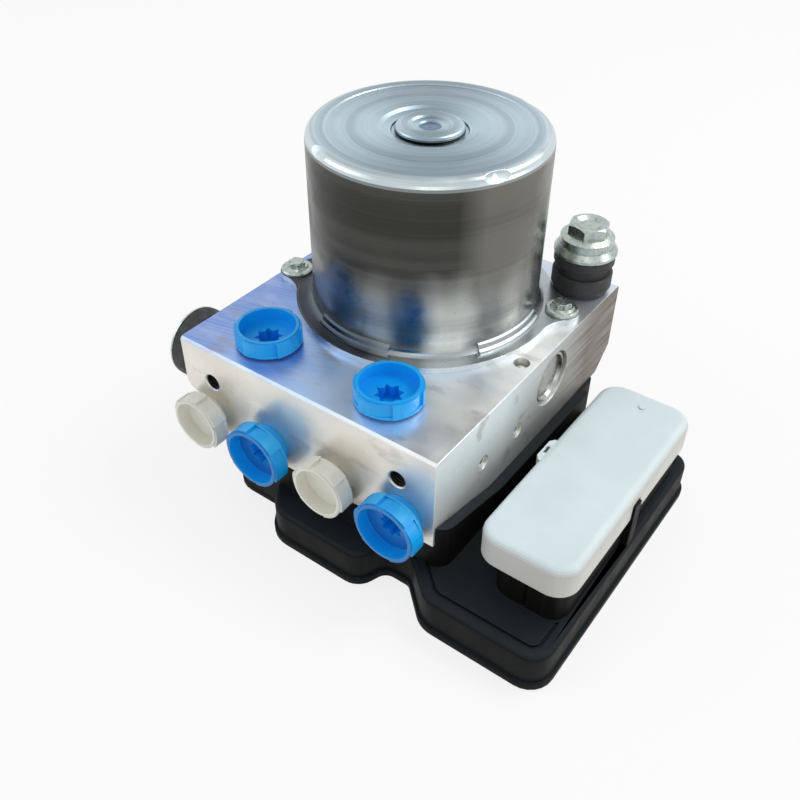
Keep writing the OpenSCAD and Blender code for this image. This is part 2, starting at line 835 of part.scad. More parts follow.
module valve_pockets() {
    for (y = [-inlet_row, -outlet_row]) for (x = valve_x) translate([x, y, ecu_h - over]) {
        cylinder(r = valve_body_r + fit_gap, h = valve_depth + over);
        cylinder(r = valve_passage_r, h = valve_depth + over + valve_passage_l);
    }
}

module galleries() {
    for (g = gallery_spots) facing_right(g[0], g[1]) {
        sunk(gallery_r, x_right - valve_x[0] + valve_body_r);
        ball_seat(ball_inset);
    }
    translate([x_right - bleed_in, bleed_y, z_top]) {
        sunk(gallery_r, bleed_depth);
        ball_seat(bleed_inset);
    }
}

// Counterbore whose step carries a ball sunk by inset
module ball_seat(inset) { sunk(ball_r + fit_gap, inset + ball_r + ball_rest + fit_gap); }

module gallery_balls() {
    color("#b9bcc0") {
        for (g = gallery_spots) facing_right(g[0], g[1]) translate([0, 0, -ball_r - ball_inset])
            sphere(r = ball_r, $fn = small_fn);
        translate([x_right - bleed_in, bleed_y, z_top - ball_r - bleed_inset])
            sphere(r = ball_r, $fn = small_fn);
    }
}

// Pressed plug with a raised rim, standing on z = 0
module pressed_plug(r, t, rim, sink) {
    rotate_extrude() polygon([
        [0, 0],
        [r - fit_gap, 0],
        [r - fit_gap, t - sink / 2],
        [r - rim / 2, t],
        [r - rim, t],
        [r - rim - sink / 2, t - sink],
        [0, t - sink]
    ]);
}

// Plugs that close the two pump bores
module pump_plugs() {
    color("#a9adb0") for (side = [-1, 1]) pump_side(side) translate([0, 0, side_reach(side) - plug_recess])
        pressed_plug(pump_plug_r, pump_plug_t, 1.6, 1.1);
}

module pump_cylinder(side) {
    color("#9da1a4") pump_side(side) translate([0, 0, cylinder_seat + fit_gap]) difference() {
        cylinder(r = pump_cylinder_r, h = cylinder_l);
        translate([0, 0, -over]) cylinder(r = pump_piston_r + run_gap, h = cylinder_l - cylinder_end_t + over);
        cylinder(r = cylinder_hole_r, h = cylinder_l + over);
        for (a = [0, 90]) rotate([90, 0, a]) translate([0, cylinder_l - cylinder_hole_in, -pump_cylinder_r - over])
            cylinder(r = cylinder_hole_r, h = 2 * (pump_cylinder_r + over));
    }
}
module pump_cylinder_right() { pump_cylinder(1); }
module pump_cylinder_left() { pump_cylinder(-1); }

module pump_piston(side) {
    color("#c9cccf") pump_side(side) translate([0, 0, piston_tip]) difference() {
        cylinder(r = pump_piston_r, h = piston_l);
        translate([0, 0, piston_l - piston_cup]) cylinder(r = pump_piston_r - 1.6, h = piston_cup + over);
    }
}
module pump_piston_right() { pump_piston(1); }
module pump_piston_left() { pump_piston(-1); }

module pump_spring(side) {
    color("#8f9498") pump_side(side) translate([0, 0, pump_spring_z])
        spring(pump_piston_r - 0.9, 0.4, pump_spring_l, 4);
}
module pump_spring_right() { pump_spring(1); }
module pump_spring_left() { pump_spring(-1); }

module accumulator_piston(side) {
    color("#b8bbb4") translate([side * accumulator_x, accumulator_piston_y, accumulator_z]) rotate([-90, 0, 0])
        difference() {
            cylinder(r = accumulator_r - run_gap, h = accumulator_piston_l);
            translate([0, 0, accumulator_web])
                cylinder(r = accumulator_r - accumulator_wall, h = accumulator_piston_l);
            translate([0, 0, 2 * accumulator_web]) rotate_extrude()
                translate([accumulator_r - accumulator_wall / 2, 0]) square([accumulator_wall, 1.6]);
        }
}
module accumulator_piston_right() { accumulator_piston(1); }
module accumulator_piston_left() { accumulator_piston(-1); }

module accumulator_spring(side) {
    color("#8f9498") translate([side * accumulator_x, accumulator_spring_y, accumulator_z]) rotate([-90, 0, 0])
        spring(accumulator_r - 2.8, 0.7, accumulator_spring_l, 5);
}
module accumulator_spring_right() { accumulator_spring(1); }
module accumulator_spring_left() { accumulator_spring(-1); }

module accumulator_caps() {
    color("#a9adb0") for (side = [-1, 1]) facing_back(side * accumulator_x, accumulator_z)
        translate([0, 0, -accumulator_inset - accumulator_cap_t])
            pressed_plug(accumulator_r, accumulator_cap_t, 1.5, 0.9);
}

// Closed valve cartridge: a dome below the block and a body in its pocket
module valve_body() {
    difference() {
        union() {
            translate([0, 0, -dome_h]) cylinder(r = dome_r, h = dome_h);
            cylinder(r = valve_body_r, h = valve_depth - fit_gap);
        }
        translate([0, 0, dome_floor]) cylinder(r = dome_r - dome_wall, h = chamber_top - dome_floor);
        cylinder(r = valve_pin_r + 0.4, h = valve_depth + over);
    }
}
module valve_row(y) { for (x = valve_x) translate([x, y, ecu_h]) children(); }
module inlet_valves() { color("#aeb2b4") valve_row(-inlet_row) valve_body(); }
module outlet_valves() { color("#aeb2b4") valve_row(-outlet_row) valve_body(); }

// Plunger with its pin, standing on z = 0
module plunger(pin_l) {
    cylinder(r = plunger_r, h = plunger_l);
    cylinder(r = valve_pin_r, h = plunger_l + pin_l);
}
module inlet_plungers() {
    color("#c9cccf") valve_row(-inlet_row) translate([0, 0, dome_floor + seat_gap])
        plunger(valve_space + valve_pin_l - plunger_travel);
}
module outlet_plungers() {
    color("#c9cccf") valve_row(-outlet_row) translate([0, 0, chamber_top - seat_gap - plunger_l])
        plunger(valve_pin_l);
}
module valve_spring() { spring(valve_spring_r, valve_wire_r, valve_spring_l, 4, 10, 5); }
module inlet_springs() {
    color("#8f9498") valve_row(-inlet_row) translate([0, 0, chamber_top - seat_gap - valve_spring_l]) valve_spring();
}
module outlet_springs() {
    color("#8f9498") valve_row(-outlet_row) translate([0, 0, dome_floor + seat_gap]) valve_spring();
}

// Coils that surround the domes and stand on the circuit board by two pins
module valve_coils() {
    color("#7a4a22") for (y = [-inlet_row, -outlet_row]) for (x = valve_x) translate([x, y, coil_z]) {
        rotate_extrude() polygon([
            [dome_r + coil_gap, 0],
            [coil_r, 0],
            [coil_r, coil_flange_t],
            [coil_r - coil_waist, coil_flange_t],
            [coil_r - coil_waist, coil_l - coil_flange_t],
            [coil_r, coil_l - coil_flange_t],
            [coil_r, coil_l],
            [dome_r + coil_gap, coil_l]
        ]);
        for (s = [-1, 1]) translate([s * (coil_r - 2) - coil_pin_w / 2, -coil_pin_w / 2, board_top - coil_z])
            cube([coil_pin_w, coil_pin_w, coil_z - board_top + coil_flange_t / 2]);
    }
}

// Deep-drawn can with its flange
module motor_can() {
    color("#8d8b84") translate([0, 0, z_top]) difference() {
        union() {
            can_shell();
            linear_extrude(flange_t) flange_shape();
            for (a = bulge_angles) rotate(a) rotate_extrude(angle = bulge_span) polygon([
                [can_r - 0.5, flange_t - 0.3],
                [can_r + 2.4, flange_t - 0.3],
                [can_r + 2.0, flange_t + 0.7],
                [can_r + 1.1, flange_t + 1.1],
                [can_r + 0.7, flange_t + 2.5],
                [can_r - 0.5, flange_t + 3.1]
            ]);
        }
        for (a = screw_angles) rotate(a) translate([screw_circle_r, 0, -over])
            cylinder(r = screw_r + 0.3, h = flange_t + 2 * over);
        for (i = [0:3]) rotate(dent_angle + 90 * i) translate([can_r - can_round, 0, can_h - can_round])
            rotate([0, 45, 0]) translate([0, 0, can_round - dent_depth + dent_ball_r]) sphere(r = dent_ball_r);
    }
}

module flange_shape() {
    difference() {
        union() {
            circle(r = flange_r, $fn = 128);
            for (a = screw_angles) rotate(a) ear_shape();
        }
        circle(r = can_r);
    }
}

// Ear that runs into the flange circle through two hollows
module ear_shape() {
    far = flange_r + ear_fillet;
    near = ear_r + ear_fillet;
    lean = acos((far * far + screw_circle_r * screw_circle_r - near * near) / (2 * far * screw_circle_r));
    difference() {
        polygon([[0, 0], far * [cos(lean), -sin(lean)], [screw_circle_r, 0], far * [cos(lean), sin(lean)]]);
        for (s = [-1, 1]) translate(far * [cos(lean), s * sin(lean)]) circle(r = ear_fillet + ear_blend);
    }
    translate([screw_circle_r, 0]) circle(r = ear_r);
}

module can_shell() {
    in_r = can_r - can_wall;
    foot_r = can_r + 2;
    well_z = can_h - button_drop;
    rotate_extrude($fn = 128) polygon(concat(
        [[in_r, 0], [foot_r, 0], [foot_r, flange_t]],
        arc([foot_r, flange_t + 2], 2, 270, 180, 4),
        arc([can_r - can_round, can_h - can_round], can_round, 0, 90, arc_steps),
        [
            [step_r + 0.3, can_h],
            [step_r, can_h - step_drop],
            [step_r - step_w, can_h - step_drop],
            [step_r - step_w - 0.6, can_h - step_drop / 2],
            [dish_r + 3.4, can_h - step_drop / 2],
            [dish_r + 0.6, can_h - step_drop],
            [dish_r - 0.6, can_h - dish_drop],
            [button_r + 1.2, can_h - dish_drop - 0.4],
            [button_r + 0.9, well_z],
            [button_r, well_z]
        ],
        arc([button_r - button_round, can_h + button_rise - button_round], button_round, 0, 90, 4),
        [
            [button_rim, can_h + button_rise],
            [button_rim - 0.7, can_h + button_rise - button_sink],
            [dimple_r, can_h + button_rise - button_sink],
            [dimple_r - 0.6, can_h + button_rise - button_sink - dimple_sink],
            [0, can_h + button_rise - button_sink - dimple_sink],
            [0, can_h - can_wall],
            [button_r - can_wall, can_h - can_wall],
            [button_r - can_wall, can_h - bush_drop - can_wall],
            [dish_r, can_h - bush_drop - can_wall],
            [dish_r + 2.4, can_h - can_wall],
            [in_r - 1.6, can_h - can_wall],
            [in_r, can_h - can_wall - 1.6]
        ]
    ));
}

module motor_magnets() {
    color("#3c3a38") translate([0, 0, z_top + armature_z - magnet_overhang]) for (i = [0:magnet_n - 1])
        rotate(360 / magnet_n * i + 7) rotate_extrude(angle = magnet_span) translate([magnet_in_r, 0])
            square([magnet_t, armature_l + 2 * magnet_overhang]);
}

module motor_shaft() {
    top = z_top + bush_z + bush_l - over;
    color("#b4b8bb") union() {
        translate([0, 0, eccentric_z - 1.5]) cylinder(r = shaft_r - 0.5, h = top - eccentric_z + 1.5);
        translate([0, 0, z_top - bearing_l - over]) cylinder(r = shaft_r, h = top - z_top + bearing_l + over);
        translate([throw, 0, eccentric_z]) cylinder(r = journal_r, h = ring_l);
    }
}

module armature_core() {
    color("#6f6c68") translate([0, 0, z_top + armature_z]) difference() {
        cylinder(r = armature_r, h = armature_l);
        translate([0, 0, -over]) cylinder(r = shaft_r + fit_gap, h = armature_l + 2 * over);
        for (i = [0:slot_n - 1]) rotate(360 / slot_n * i) translate([0, 0, -over]) {
            translate([slot_in_r, -slot_w / 2, 0]) cube([slot_out_r - slot_in_r, slot_w, armature_l + 2 * over]);
            translate([slot_in_r, -slot_mouth / 2, 0]) cube([armature_r, slot_mouth, armature_l + 2 * over]);
        }
    }
}

module armature_winding() {
    bar = slot_w - 2 * fit_gap;
    color("#a8531f") translate([0, 0, z_top + armature_z]) {
        for (i = [0:slot_n - 1]) rotate(360 / slot_n * i)
            translate([slot_in_r + fit_gap, -bar / 2, -winding_overhang])
                cube([slot_out_r - slot_in_r - 2 * fit_gap, bar, armature_l + 2 * winding_overhang]);
        for (z = [-winding_overhang, armature_l + fit_gap]) translate([0, 0, z]) rotate_extrude() polygon([
            [core_hub_r, 0.8],
            [core_hub_r + 1.6, 0],
            [slot_out_r - 3, 0],
            [slot_out_r - 0.4, 1.2],
            [slot_out_r - 0.4, winding_overhang - fit_gap],
            [core_hub_r, winding_overhang - fit_gap]
        ]);
    }
}

module commutator() {
    color("#b8733a") translate([0, 0, z_top + commutator_z]) difference() {
        cylinder(r = commutator_r, h = commutator_l);
        translate([0, 0, -over]) cylinder(r = shaft_r + fit_gap, h = commutator_l + 2 * over);
        for (i = [0:slot_n - 1]) rotate(360 / slot_n * (i + 0.5)) translate([commutator_r - 0.8, -bar_gap / 2, -over])
            cube([2, bar_gap, commutator_l + 2 * over]);
    }
}

module rear_bush() {
    color("#9a8352") translate([0, 0, z_top + bush_z]) difference() {
        cylinder(r = bush_r, h = bush_l - fit_gap);
        translate([0, 0, -over]) cylinder(r = shaft_r + run_gap, h = bush_l + 2 * over);
    }
}

// Ball bearing at the block end of the shaft
module bearing_track() {
    translate([0, 0, bearing_l / 2]) rotate_extrude() translate([ball_circle_r, 0])
        circle(r = bearing_ball_r + fit_gap, $fn = small_fn);
}
module front_bearing_outer() {
    color("#b4b8bb") translate([0, 0, z_top - bearing_l]) difference() {
        cylinder(r = bearing_r, h = bearing_l);
        translate([0, 0, -over]) cylinder(r = ball_circle_r + race_gap, h = bearing_l + 2 * over);
        bearing_track();
    }
}
module front_bearing_inner() {
    color("#b4b8bb") translate([0, 0, z_top - bearing_l]) difference() {
        cylinder(r = ball_circle_r - race_gap, h = bearing_l);
        translate([0, 0, -over]) cylinder(r = shaft_r + 0.02, h = bearing_l + 2 * over);
        bearing_track();
    }
}
module front_bearing_balls() {
    color("#d0d3d5") translate([0, 0, z_top - bearing_l / 2]) for (i = [0:bearing_ball_n - 1])
        rotate(360 / bearing_ball_n * i) translate([ball_circle_r, 0, 0]) sphere(r = bearing_ball_r, $fn = small_fn);
}

// Plate that closes the can's mouth and carries the brushes
module brush_plate() {
    color("#2a2b2c") translate([0, 0, z_top]) difference() {
        union() {
            cylinder(r = can_r - can_wall - fit_gap, h = brush_plate_t);
            for (s = [0, 180]) rotate(s) translate([brush_x + brush_nose, -brush_w / 2 - holder_wall, 0]) cube([
                brush_l + brush_spring_l - brush_nose + holder_wall,
                brush_w + 2 * holder_wall,
                brush_z + brush_t + holder_wall
            ]);
        }
        translate([0, 0, -over]) cylinder(r = bearing_r - 0.6, h = brush_plate_t + 2 * over);
        for (s = [0, 180]) rotate(s) translate([brush_x, -brush_w / 2 - fit_gap, brush_z - fit_gap])
            cube([brush_l + brush_spring_l, brush_w + 2 * fit_gap, brush_t + 2 * fit_gap]);
        for (s = [-1, 1]) translate([s * terminal_gap, terminal_y, -over])
            cylinder(r = terminal_r + fit_gap, h = brush_plate_t + 2 * over);
    }
}
module motor_brushes() {
    color("#3a3734") for (s = [0, 180]) rotate(s) translate([brush_x, -brush_w / 2, z_top + brush_z])
        cube([brush_l, brush_w, brush_t]);
}
module brush_springs() {
    color("#8f9498") for (s = [0, 180]) rotate(s)
        translate([brush_x + brush_l + seat_gap, 0, z_top + brush_z + brush_t / 2]) rotate([0, 90, 0])
            spring(brush_spring_r, brush_wire_r, brush_spring_l - 2 * seat_gap, 4, 10, 5);
}
module motor_terminals() {
    color("#c0a35a") for (s = [-1, 1]) translate([s * terminal_gap, terminal_y, board_top])
        cylinder(r = terminal_r, h = z_top + brush_plate_t + terminal_end - board_top);
}

// Screws with a six-lobed head on a round flange
module motor_screws() {
    color("#b9bcbe") for (a = screw_angles) rotate(a) translate([screw_circle_r, 0, z_top + flange_t + fit_gap]) {
        rotate_extrude() polygon([
            [0, 0],
            [screw_flange_r, 0],
            [screw_flange_r, 0.8],
            [screw_flange_r - 0.4, screw_flange_t],
            [screw_boss_r, screw_flange_t + 0.2],
            [screw_boss_r - 0.3, screw_flange_t + screw_boss_t],
            [0, screw_flange_t + screw_boss_t]
        ]);
        cylinder(r = screw_lobe_circle_r + 0.1, h = screw_head_h);
        for (i = [0:5]) rotate(60 * i) translate([screw_lobe_circle_r, 0, 0])
            cylinder(r = screw_lobe_r, h = screw_head_h - 0.2, $fn = 24);
        translate([0, 0, -screw_depth - flange_t]) cylinder(r = screw_r, h = screw_depth + flange_t + 0.5);
    }
}

module motor_seal() {
    color("#202122") translate([0, 0, z_top - seal_groove_depth / 2]) rotate_extrude() translate([seal_circle_r, 0])
        circle(r = seal_r, $fn = small_fn);
}

module eccentric_ring() {
    color("#b4b8bb") translate([throw, 0, eccentric_z]) difference() {
        cylinder(r = ring_r, h = ring_l);
        translate([0, 0, -over]) cylinder(r = ring_in_r, h = ring_l + 2 * over);
    }
}
module eccentric_needles() {
    color("#d0d3d5") translate([throw, 0, eccentric_z + 0.5]) for (i = [0:needle_n - 1]) rotate(360 / needle_n * i)
        translate([needle_circle_r, 0, 0]) cylinder(r = needle_r, h = ring_l - 1, $fn = 24);
}

// Moulded housing of the control unit
module ecu_housing() {
    color("#1d1e20") difference() {
        union() {
            housing_ledges();
            translate([0, 0, housing_z]) linear_extrude(ecu_h - housing_z) plinth_shape();
            connector_shroud();
            for (x = latch_x) latch(x);
            block_collar();
        }
        housing_cavity();
        screw_pockets();
        pin_set(pin_w / 2 + fit_gap, blade_w / 2 + fit_gap);
        gasket_ring(gasket_w + 2 * fit_gap, gasket_h + fit_gap, over);
    }
}

// Low left lobe and the higher ledge, with the line pressed in around the connector
module housing_ledges() {
    difference() {
        translate([0, 0, housing_z]) {
            linear_extrude(lobe_h - housing_z) ecu_shape(housing_inset);
            linear_extrude(ledge_h - housing_z) intersection() {
                ecu_shape(housing_inset);
                union() {
                    translate([ledge_x, right_lobe_y]) square([ecu_x1, block_d + right_lobe_reach]);
                    translate([ecu_x0, y_front]) square([block_w, block_d]);
                }
            }
        }
        translate([0, 0, ledge_h - panel_groove]) linear_extrude(panel_groove + over) difference() {
            panel_shape(panel_groove_in);
            panel_shape(panel_groove_in + panel_groove_w);
            shroud_shape(panel_groove_w);
        }
    }
}
module panel_shape(d) {
    intersection() {
        ecu_shape(d);
        translate([notch_x1 + 5, right_lobe_y]) square([ecu_x1, block_d]);
    }
}

// Sloping collar between the block's right face and the ledge
module block_collar() {
    intersection() {
        translate([0, 0, ecu_h - over]) linear_extrude(collar_h + 2 * over) plinth_shape();
        translate([x_right + collar_gap, 0, 0]) rotate([90, 0, 90]) linear_extrude(plinth_reach + over) polygon([
            [ecu_y0 - over, ecu_h - over],
            [ecu_y0 + collar_l + collar_tail, ecu_h - over],
            [ecu_y0 + collar_l + collar_tail, ecu_h],
            [ecu_y0 + collar_l, ecu_h + collar_end_h],
            [ecu_y0, ecu_h + collar_h],
            [ecu_y0 - over, ecu_h + collar_h]
        ]);
    }
}

module connector_shroud() {
    translate([0, 0, ledge_h - roof_t]) difference() {
        linear_extrude(shroud_h + roof_t) shroud_shape(0);
        translate([0, 0, roof_t]) linear_extrude(shroud_h + over) shroud_shape(-shroud_wall);
        translate([shroud_cx - slit_w / 2, shroud_y0 - over, roof_t])
            cube([slit_w, over + slit_depth, cap_z - ledge_h]);
    }
}

// Latch post with two rounded horns, seen from its left side at x
module latch(x) {
    root = ledge_h - over;
    horn_z = latch_top - horn_r;
    translate([x, latch_y - latch_w / 2, root]) cube([latch_t, latch_w, horn_z - root]);
    for (s = [-1, 1]) translate([x, latch_y + s * (latch_w / 2 - horn_r), horn_z]) rotate([0, 90, 0])
        cylinder(r = horn_r, h = latch_t, $fn = small_fn);
}

module housing_cavity() {
    difference() {
        union() {
            translate([0, 0, housing_z - over]) linear_extrude(lobe_h - roof_t - housing_z + over)
                ecu_shape(housing_inset + ecu_wall);
            translate([0, 0, housing_z]) linear_extrude(ecu_h) seat_shape(rim_w);
        }
        for (p = ecu_screws_at) translate([p[0], p[1], 0]) cylinder(r = post_r, h = ecu_h);
    }
}

module screw_pockets() {
    for (p = ecu_screws_at) translate([p[0], p[1], -over]) {
        cylinder(r = ecu_screw_head_r + pocket_gap, h = ecu_screw_seat + over);
        cylinder(r = ecu_screw_r + fit_gap, h = ecu_h + 2 * over);
    }
}

module gasket_ring(w, h, up) {
    translate([0, 0, ecu_h - h]) linear_extrude(h + up) difference() {
        seat_shape(rim_w / 2 - w / 2);
        seat_shape(rim_w / 2 + w / 2);
    }
}
module ecu_gasket() { color("#141414") gasket_ring(gasket_w, gasket_h, 0); }

module ecu_cover() {
    color("#232427") difference() {
        union() {
            linear_extrude(cover_t - seam_h) ecu_shape(0);
            translate([0, 0, cover_t - 2 * seam_h]) linear_extrude(2 * seam_h) ecu_shape(housing_inset + seam_h);
        }
        for (p = ecu_screws_at) translate([p[0], p[1], -over])
            cylinder(r = ecu_screw_head_r + pocket_gap, h = cover_t + 2 * over);
    }
}

// Board cut away around the screw posts, and out to the corner at the back left one
module circuit_board() {
    hole_r = post_r + board_gap;
    corner = ecu_screws_at[2];
    color("#1e5a34") translate([0, 0, board_z]) linear_extrude(board_t) difference() {
        ecu_shape(housing_inset + ecu_wall + board_gap);
        for (p = ecu_screws_at) translate(p) circle(r = hole_r);
        translate([corner[0] - hole_r, corner[1]]) square([hole_r, ecu_y1 - corner[1]]);
    }
}

// Chips, drivers, capacitors and a choke that stand on the board
module board_components() {
    color("#2c2d2f") translate([0, parts_y, board_top]) {
        for (c = chips) translate([c[0], c[1], 0]) cube([c[2], c[3], c[4]]);
        for (i = [0:driver_n - 1]) translate([driver_at[0] + driver_pitch * i, driver_at[1], 0]) cube(driver_size);
        for (x = capacitor_x) translate([x, capacitor_y, 0]) cylinder(r = capacitor_r, h = capacitor_h);
    }
}

// Signal pins in two rows and blades for the supply
module pin_set(half, blade_half) {
    tall = pin_tip - board_top;
    y0 = shroud_cy - (pin_columns - 1) / 2 * pin_pitch;
    for (s = [-1, 1]) translate([shroud_cx + s * pin_row_pitch / 2 - half, 0, board_top]) {
        for (i = [0:pin_columns - 1]) translate([0, y0 + i * pin_pitch - half, 0]) cube([2 * half, 2 * half, tall]);
        for (y = [shroud_y0 + blade_inset, shroud_y1 - blade_inset]) translate([0, y - blade_half, 0])
            cube([2 * half, 2 * blade_half, tall]);
    }
}
module connector_pins() { color("#c9b26a") pin_set(pin_w / 2, blade_w / 2); }

module ecu_screws() {
    color("#8b8f92") for (p = ecu_screws_at) translate([p[0], p[1], ecu_screw_seat - ecu_screw_head_h]) difference() {
        union() {
            cylinder(r = ecu_screw_head_r, h = ecu_screw_head_h);
            cylinder(r = ecu_screw_r, h = ecu_screw_head_h + ecu_h - ecu_screw_seat + ecu_screw_grip);
        }
        translate([0, 0, -over]) cylinder(r = ecu_socket_r, h = over + 2, $fn = 6);
    }
}

// Transport cap over the connector, notched at the two latch posts
module connector_cap() {
    color("#e4eaea") {
        difference() {
            union() {
                cap_solid(0, cap_h, cap_round);
                cap_ear();
            }
            translate([0, 0, -over]) cap_solid(cap_wall, cap_h - cap_wall + over, cap_inner_round);
            cap_notch(cap_x0, latch_x[0] + latch_t + latch_gap);
            cap_notch(latch_x[1] - latch_gap, cap_x1 + over);
            translate([cap_x0 - ear_slit_w / 2, latch_y - ear_slit_l / 2, latch_top])
                cube([ear_slit_w, ear_slit_l, cap_top - latch_top]);
        }
        translate([gate_at[0], gate_at[1], cap_top - gate_h]) cylinder(r = gate_r, h = 2 * gate_h);
    }
}

// Low ear on the cap's left side, over the left latch post
module cap_ear() {
    tip = latch_w / 2 + ear_slope;
    root = tip + ear_slope;
    in = cap_wall - 0.1;
    translate([cap_x0, latch_y, cap_z]) linear_extrude(cap_h - ear_drop)
        polygon([[in, -root], [0, -root], [-ear_out, -tip], [-ear_out, tip], [0, root], [in, root]]);
}
module cap_solid(inset, h, round_r) {
    r = cap_corner - inset;
    hull() for (x = [cap_x0 + cap_corner, cap_x1 - cap_corner]) for (y = [cap_y0 + cap_corner, cap_y1 - cap_corner])
        translate([x, y, cap_z]) rotate_extrude($fn = small_fn)
            polygon(concat([[0, 0], [r, 0]], arc([r - round_r, h - round_r], round_r, 0, 90, 5), [[0, h]]));
}
module cap_notch(x0, x1) {
    translate([x0, latch_y - latch_w / 2 - latch_gap, cap_z - over])
        cube([x1 - x0, latch_w + 2 * latch_gap, latch_top + latch_gap - cap_z + over]);
}

// Transport plug, axis up, seated at z = 0: ribbed cup on a neck and a shank, with a star in the large ones
module port_plug(rim_r, shank_r, neck, foot, rib_turn) {
    difference() {
        union() {
            translate([0, 0, -shank_l]) cylinder(r = shank_r - fit_gap, h = shank_l + neck);
            translate([0, 0, fit_gap]) cylinder(r = shank_r + collar_w, h = neck);
            translate([0, 0, neck]) cylinder(r = rim_r + foot, h = plug_foot_t);
            translate([0, 0, neck]) linear_extrude(plug_h - 0.4) rotate(rib_turn) rib_shape(rim_r);
            translate([0, 0, neck]) cylinder(r = rim_r - 0.15, h = plug_h);
        }
        translate([0, 0, neck + plug_floor]) cylinder(r = rim_r - plug_wall, h = plug_h);
        if (shank_r == large_port_r) translate([0, 0, neck - star_depth]) linear_extrude(plug_h)
            star_shape(min(star_r, shank_r - 0.8));
    }
}
// Saw-tooth outline with six ramps
module rib_shape(r) {
    ramps = 6;
    steps = 8;
    polygon([
        for (i = [0:ramps - 1]) for (k = [0:steps])
            let (a = 360 / ramps * (i + k / steps), q = r + plug_rib * (1 - k / steps))
            q * [cos(a), sin(a)]
    ]);
}
module star_shape(r) {
    points_n = 8;
    polygon([
        for (i = [0:2 * points_n - 1])
            let (a = 180 / points_n * i, q = i % 2 == 0 ? r : r * star_waist)
            q * [cos(a), sin(a)]
    ]);
}

module top_plug(i) {
    color("#0a7cf0") translate([top_port_x[i], top_port_y, z_top])
        port_plug(large_plug_r, large_port_r, top_neck, plug_foot, top_rib_turn[i]);
}
module front_plug(i) {
    color(front_port_r[i] == large_port_r ? "#0a7cf0" : "#eceeea") facing_front(front_port_x[i], front_port_z)
        port_plug(front_plug_r[i], front_port_r[i], front_plug_neck[i], front_plug_foot[i], front_rib_turn[i]);
}
module port_plug_top_left() { top_plug(0); }
module port_plug_top_right() { top_plug(1); }
module port_plug_front_1() { front_plug(0); }
module port_plug_front_2() { front_plug(1); }
module port_plug_front_3() { front_plug(2); }
module port_plug_front_4() { front_plug(3); }

module at_top_mount() { translate([top_mount_x, top_mount_y, z_top]) children(); }
module at_side_mount() { facing_left(side_mount_y, side_mount_z) children(); }

// Rubber with a slot for the bracket's edge
module top_mount_rubber() {
    hole = bolt_r + sleeve_wall + sleeve_gap;
    high = rubber_low + rubber_slot;
    color("#1b1c1d") at_top_mount() rotate_extrude() polygon([
        [hole, 0],
        [rubber_r - rubber_foot, 0],
        [rubber_r - rubber_foot, 0.8],
        [rubber_r - 0.4, 2],
        [rubber_r, 2.4],
        [rubber_r, rubber_low - rubber_edge],
        [rubber_r - rubber_edge, rubber_low],
        [rubber_r - rubber_waist, rubber_low],
        [rubber_r - rubber_waist, high],
        [rubber_r - rubber_edge, high],
        [rubber_r, high + rubber_edge],
        [rubber_r, rubber_h - rubber_edge],
        [rubber_r - rubber_edge, rubber_h],
        [hole, rubber_h]
    ]);
}
module side_mount_rubber() {
    hole = side_screw_r + sleeve_wall + sleeve_gap;
    color("#1b1c1d") at_side_mount() rotate_extrude() polygon([
        [hole, 0],
        [side_rubber_r - rubber_foot, 0],
        [side_rubber_r - rubber_foot, 1.2],
        [side_rubber_r, 1.2 + rubber_edge],
        [side_rubber_r, side_rubber_h - rubber_edge],
        [side_rubber_r - rubber_edge, side_rubber_h],
        [hole, side_rubber_h]
    ]);
}

module sleeve(r, h) {
    difference() {
        cylinder(r = r + sleeve_wall, h = h);
        translate([0, 0, -over]) cylinder(r = r + shank_gap, h = h + 2 * over);
    }
}
module mount_sleeves() {
    color("#a4a8aa") {
        at_top_mount() sleeve(bolt_r, rubber_h);
        at_side_mount() sleeve(side_screw_r, side_rubber_h);
    }
}

// Stepped washer under the bolt's head
module top_mount_washer() {
    hole = bolt_r + shank_gap;
    color("#aab6c0") at_top_mount() translate([0, 0, rubber_h + head_gap]) rotate_extrude() polygon([
        [hole, 0],
        [washer_r - 0.3, 0],
        [washer_r, 0.3],
        [washer_r, washer_t],
        [washer_cone_r, washer_cone_h],
        [bolt_flange_r, washer_cone_h],
        [bolt_flange_r, washer_h],
        [hole, washer_h]
    ]);
}

// Hexagon flange bolt with a dished head
module top_mount_bolt() {
    seat = rubber_h + washer_h + 2 * head_gap;
    dish_r1 = hexagon_r - 2;
    color("#b4c0c8") at_top_mount() translate([0, 0, seat]) difference() {
        union() {
            rotate_extrude() polygon([
                [0, 0],
                [bolt_flange_r, 0],
                [bolt_flange_r, bolt_flange_t],
                [hexagon_r - bolt_corner, bolt_cone_h],
                [0, bolt_cone_h]
            ]);
            intersection() {
                rotate(bolt_turn) cylinder(r = hexagon_r, h = bolt_head_h, $fn = 6);
                rotate_extrude() polygon([
                    [0, 0],
                    [hexagon_r + 0.1, 0],
                    [hexagon_r + 0.1, bolt_head_h - 0.7],
                    [hexagon_r - 1, bolt_head_h],
                    [0, bolt_head_h]
                ]);
            }
            translate([0, 0, -seat - top_bolt_depth]) cylinder(r = bolt_r, h = seat + top_bolt_depth + bolt_flange_t);
        }
        translate([0, 0, bolt_head_h - bolt_dish]) rotate_extrude() polygon([
            [0, 0],
            [dish_r1 - 1.7, 0],
            [dish_r1, bolt_dish],
            [dish_r1, bolt_dish + over],
            [0, bolt_dish + over]
        ]);
    }
}

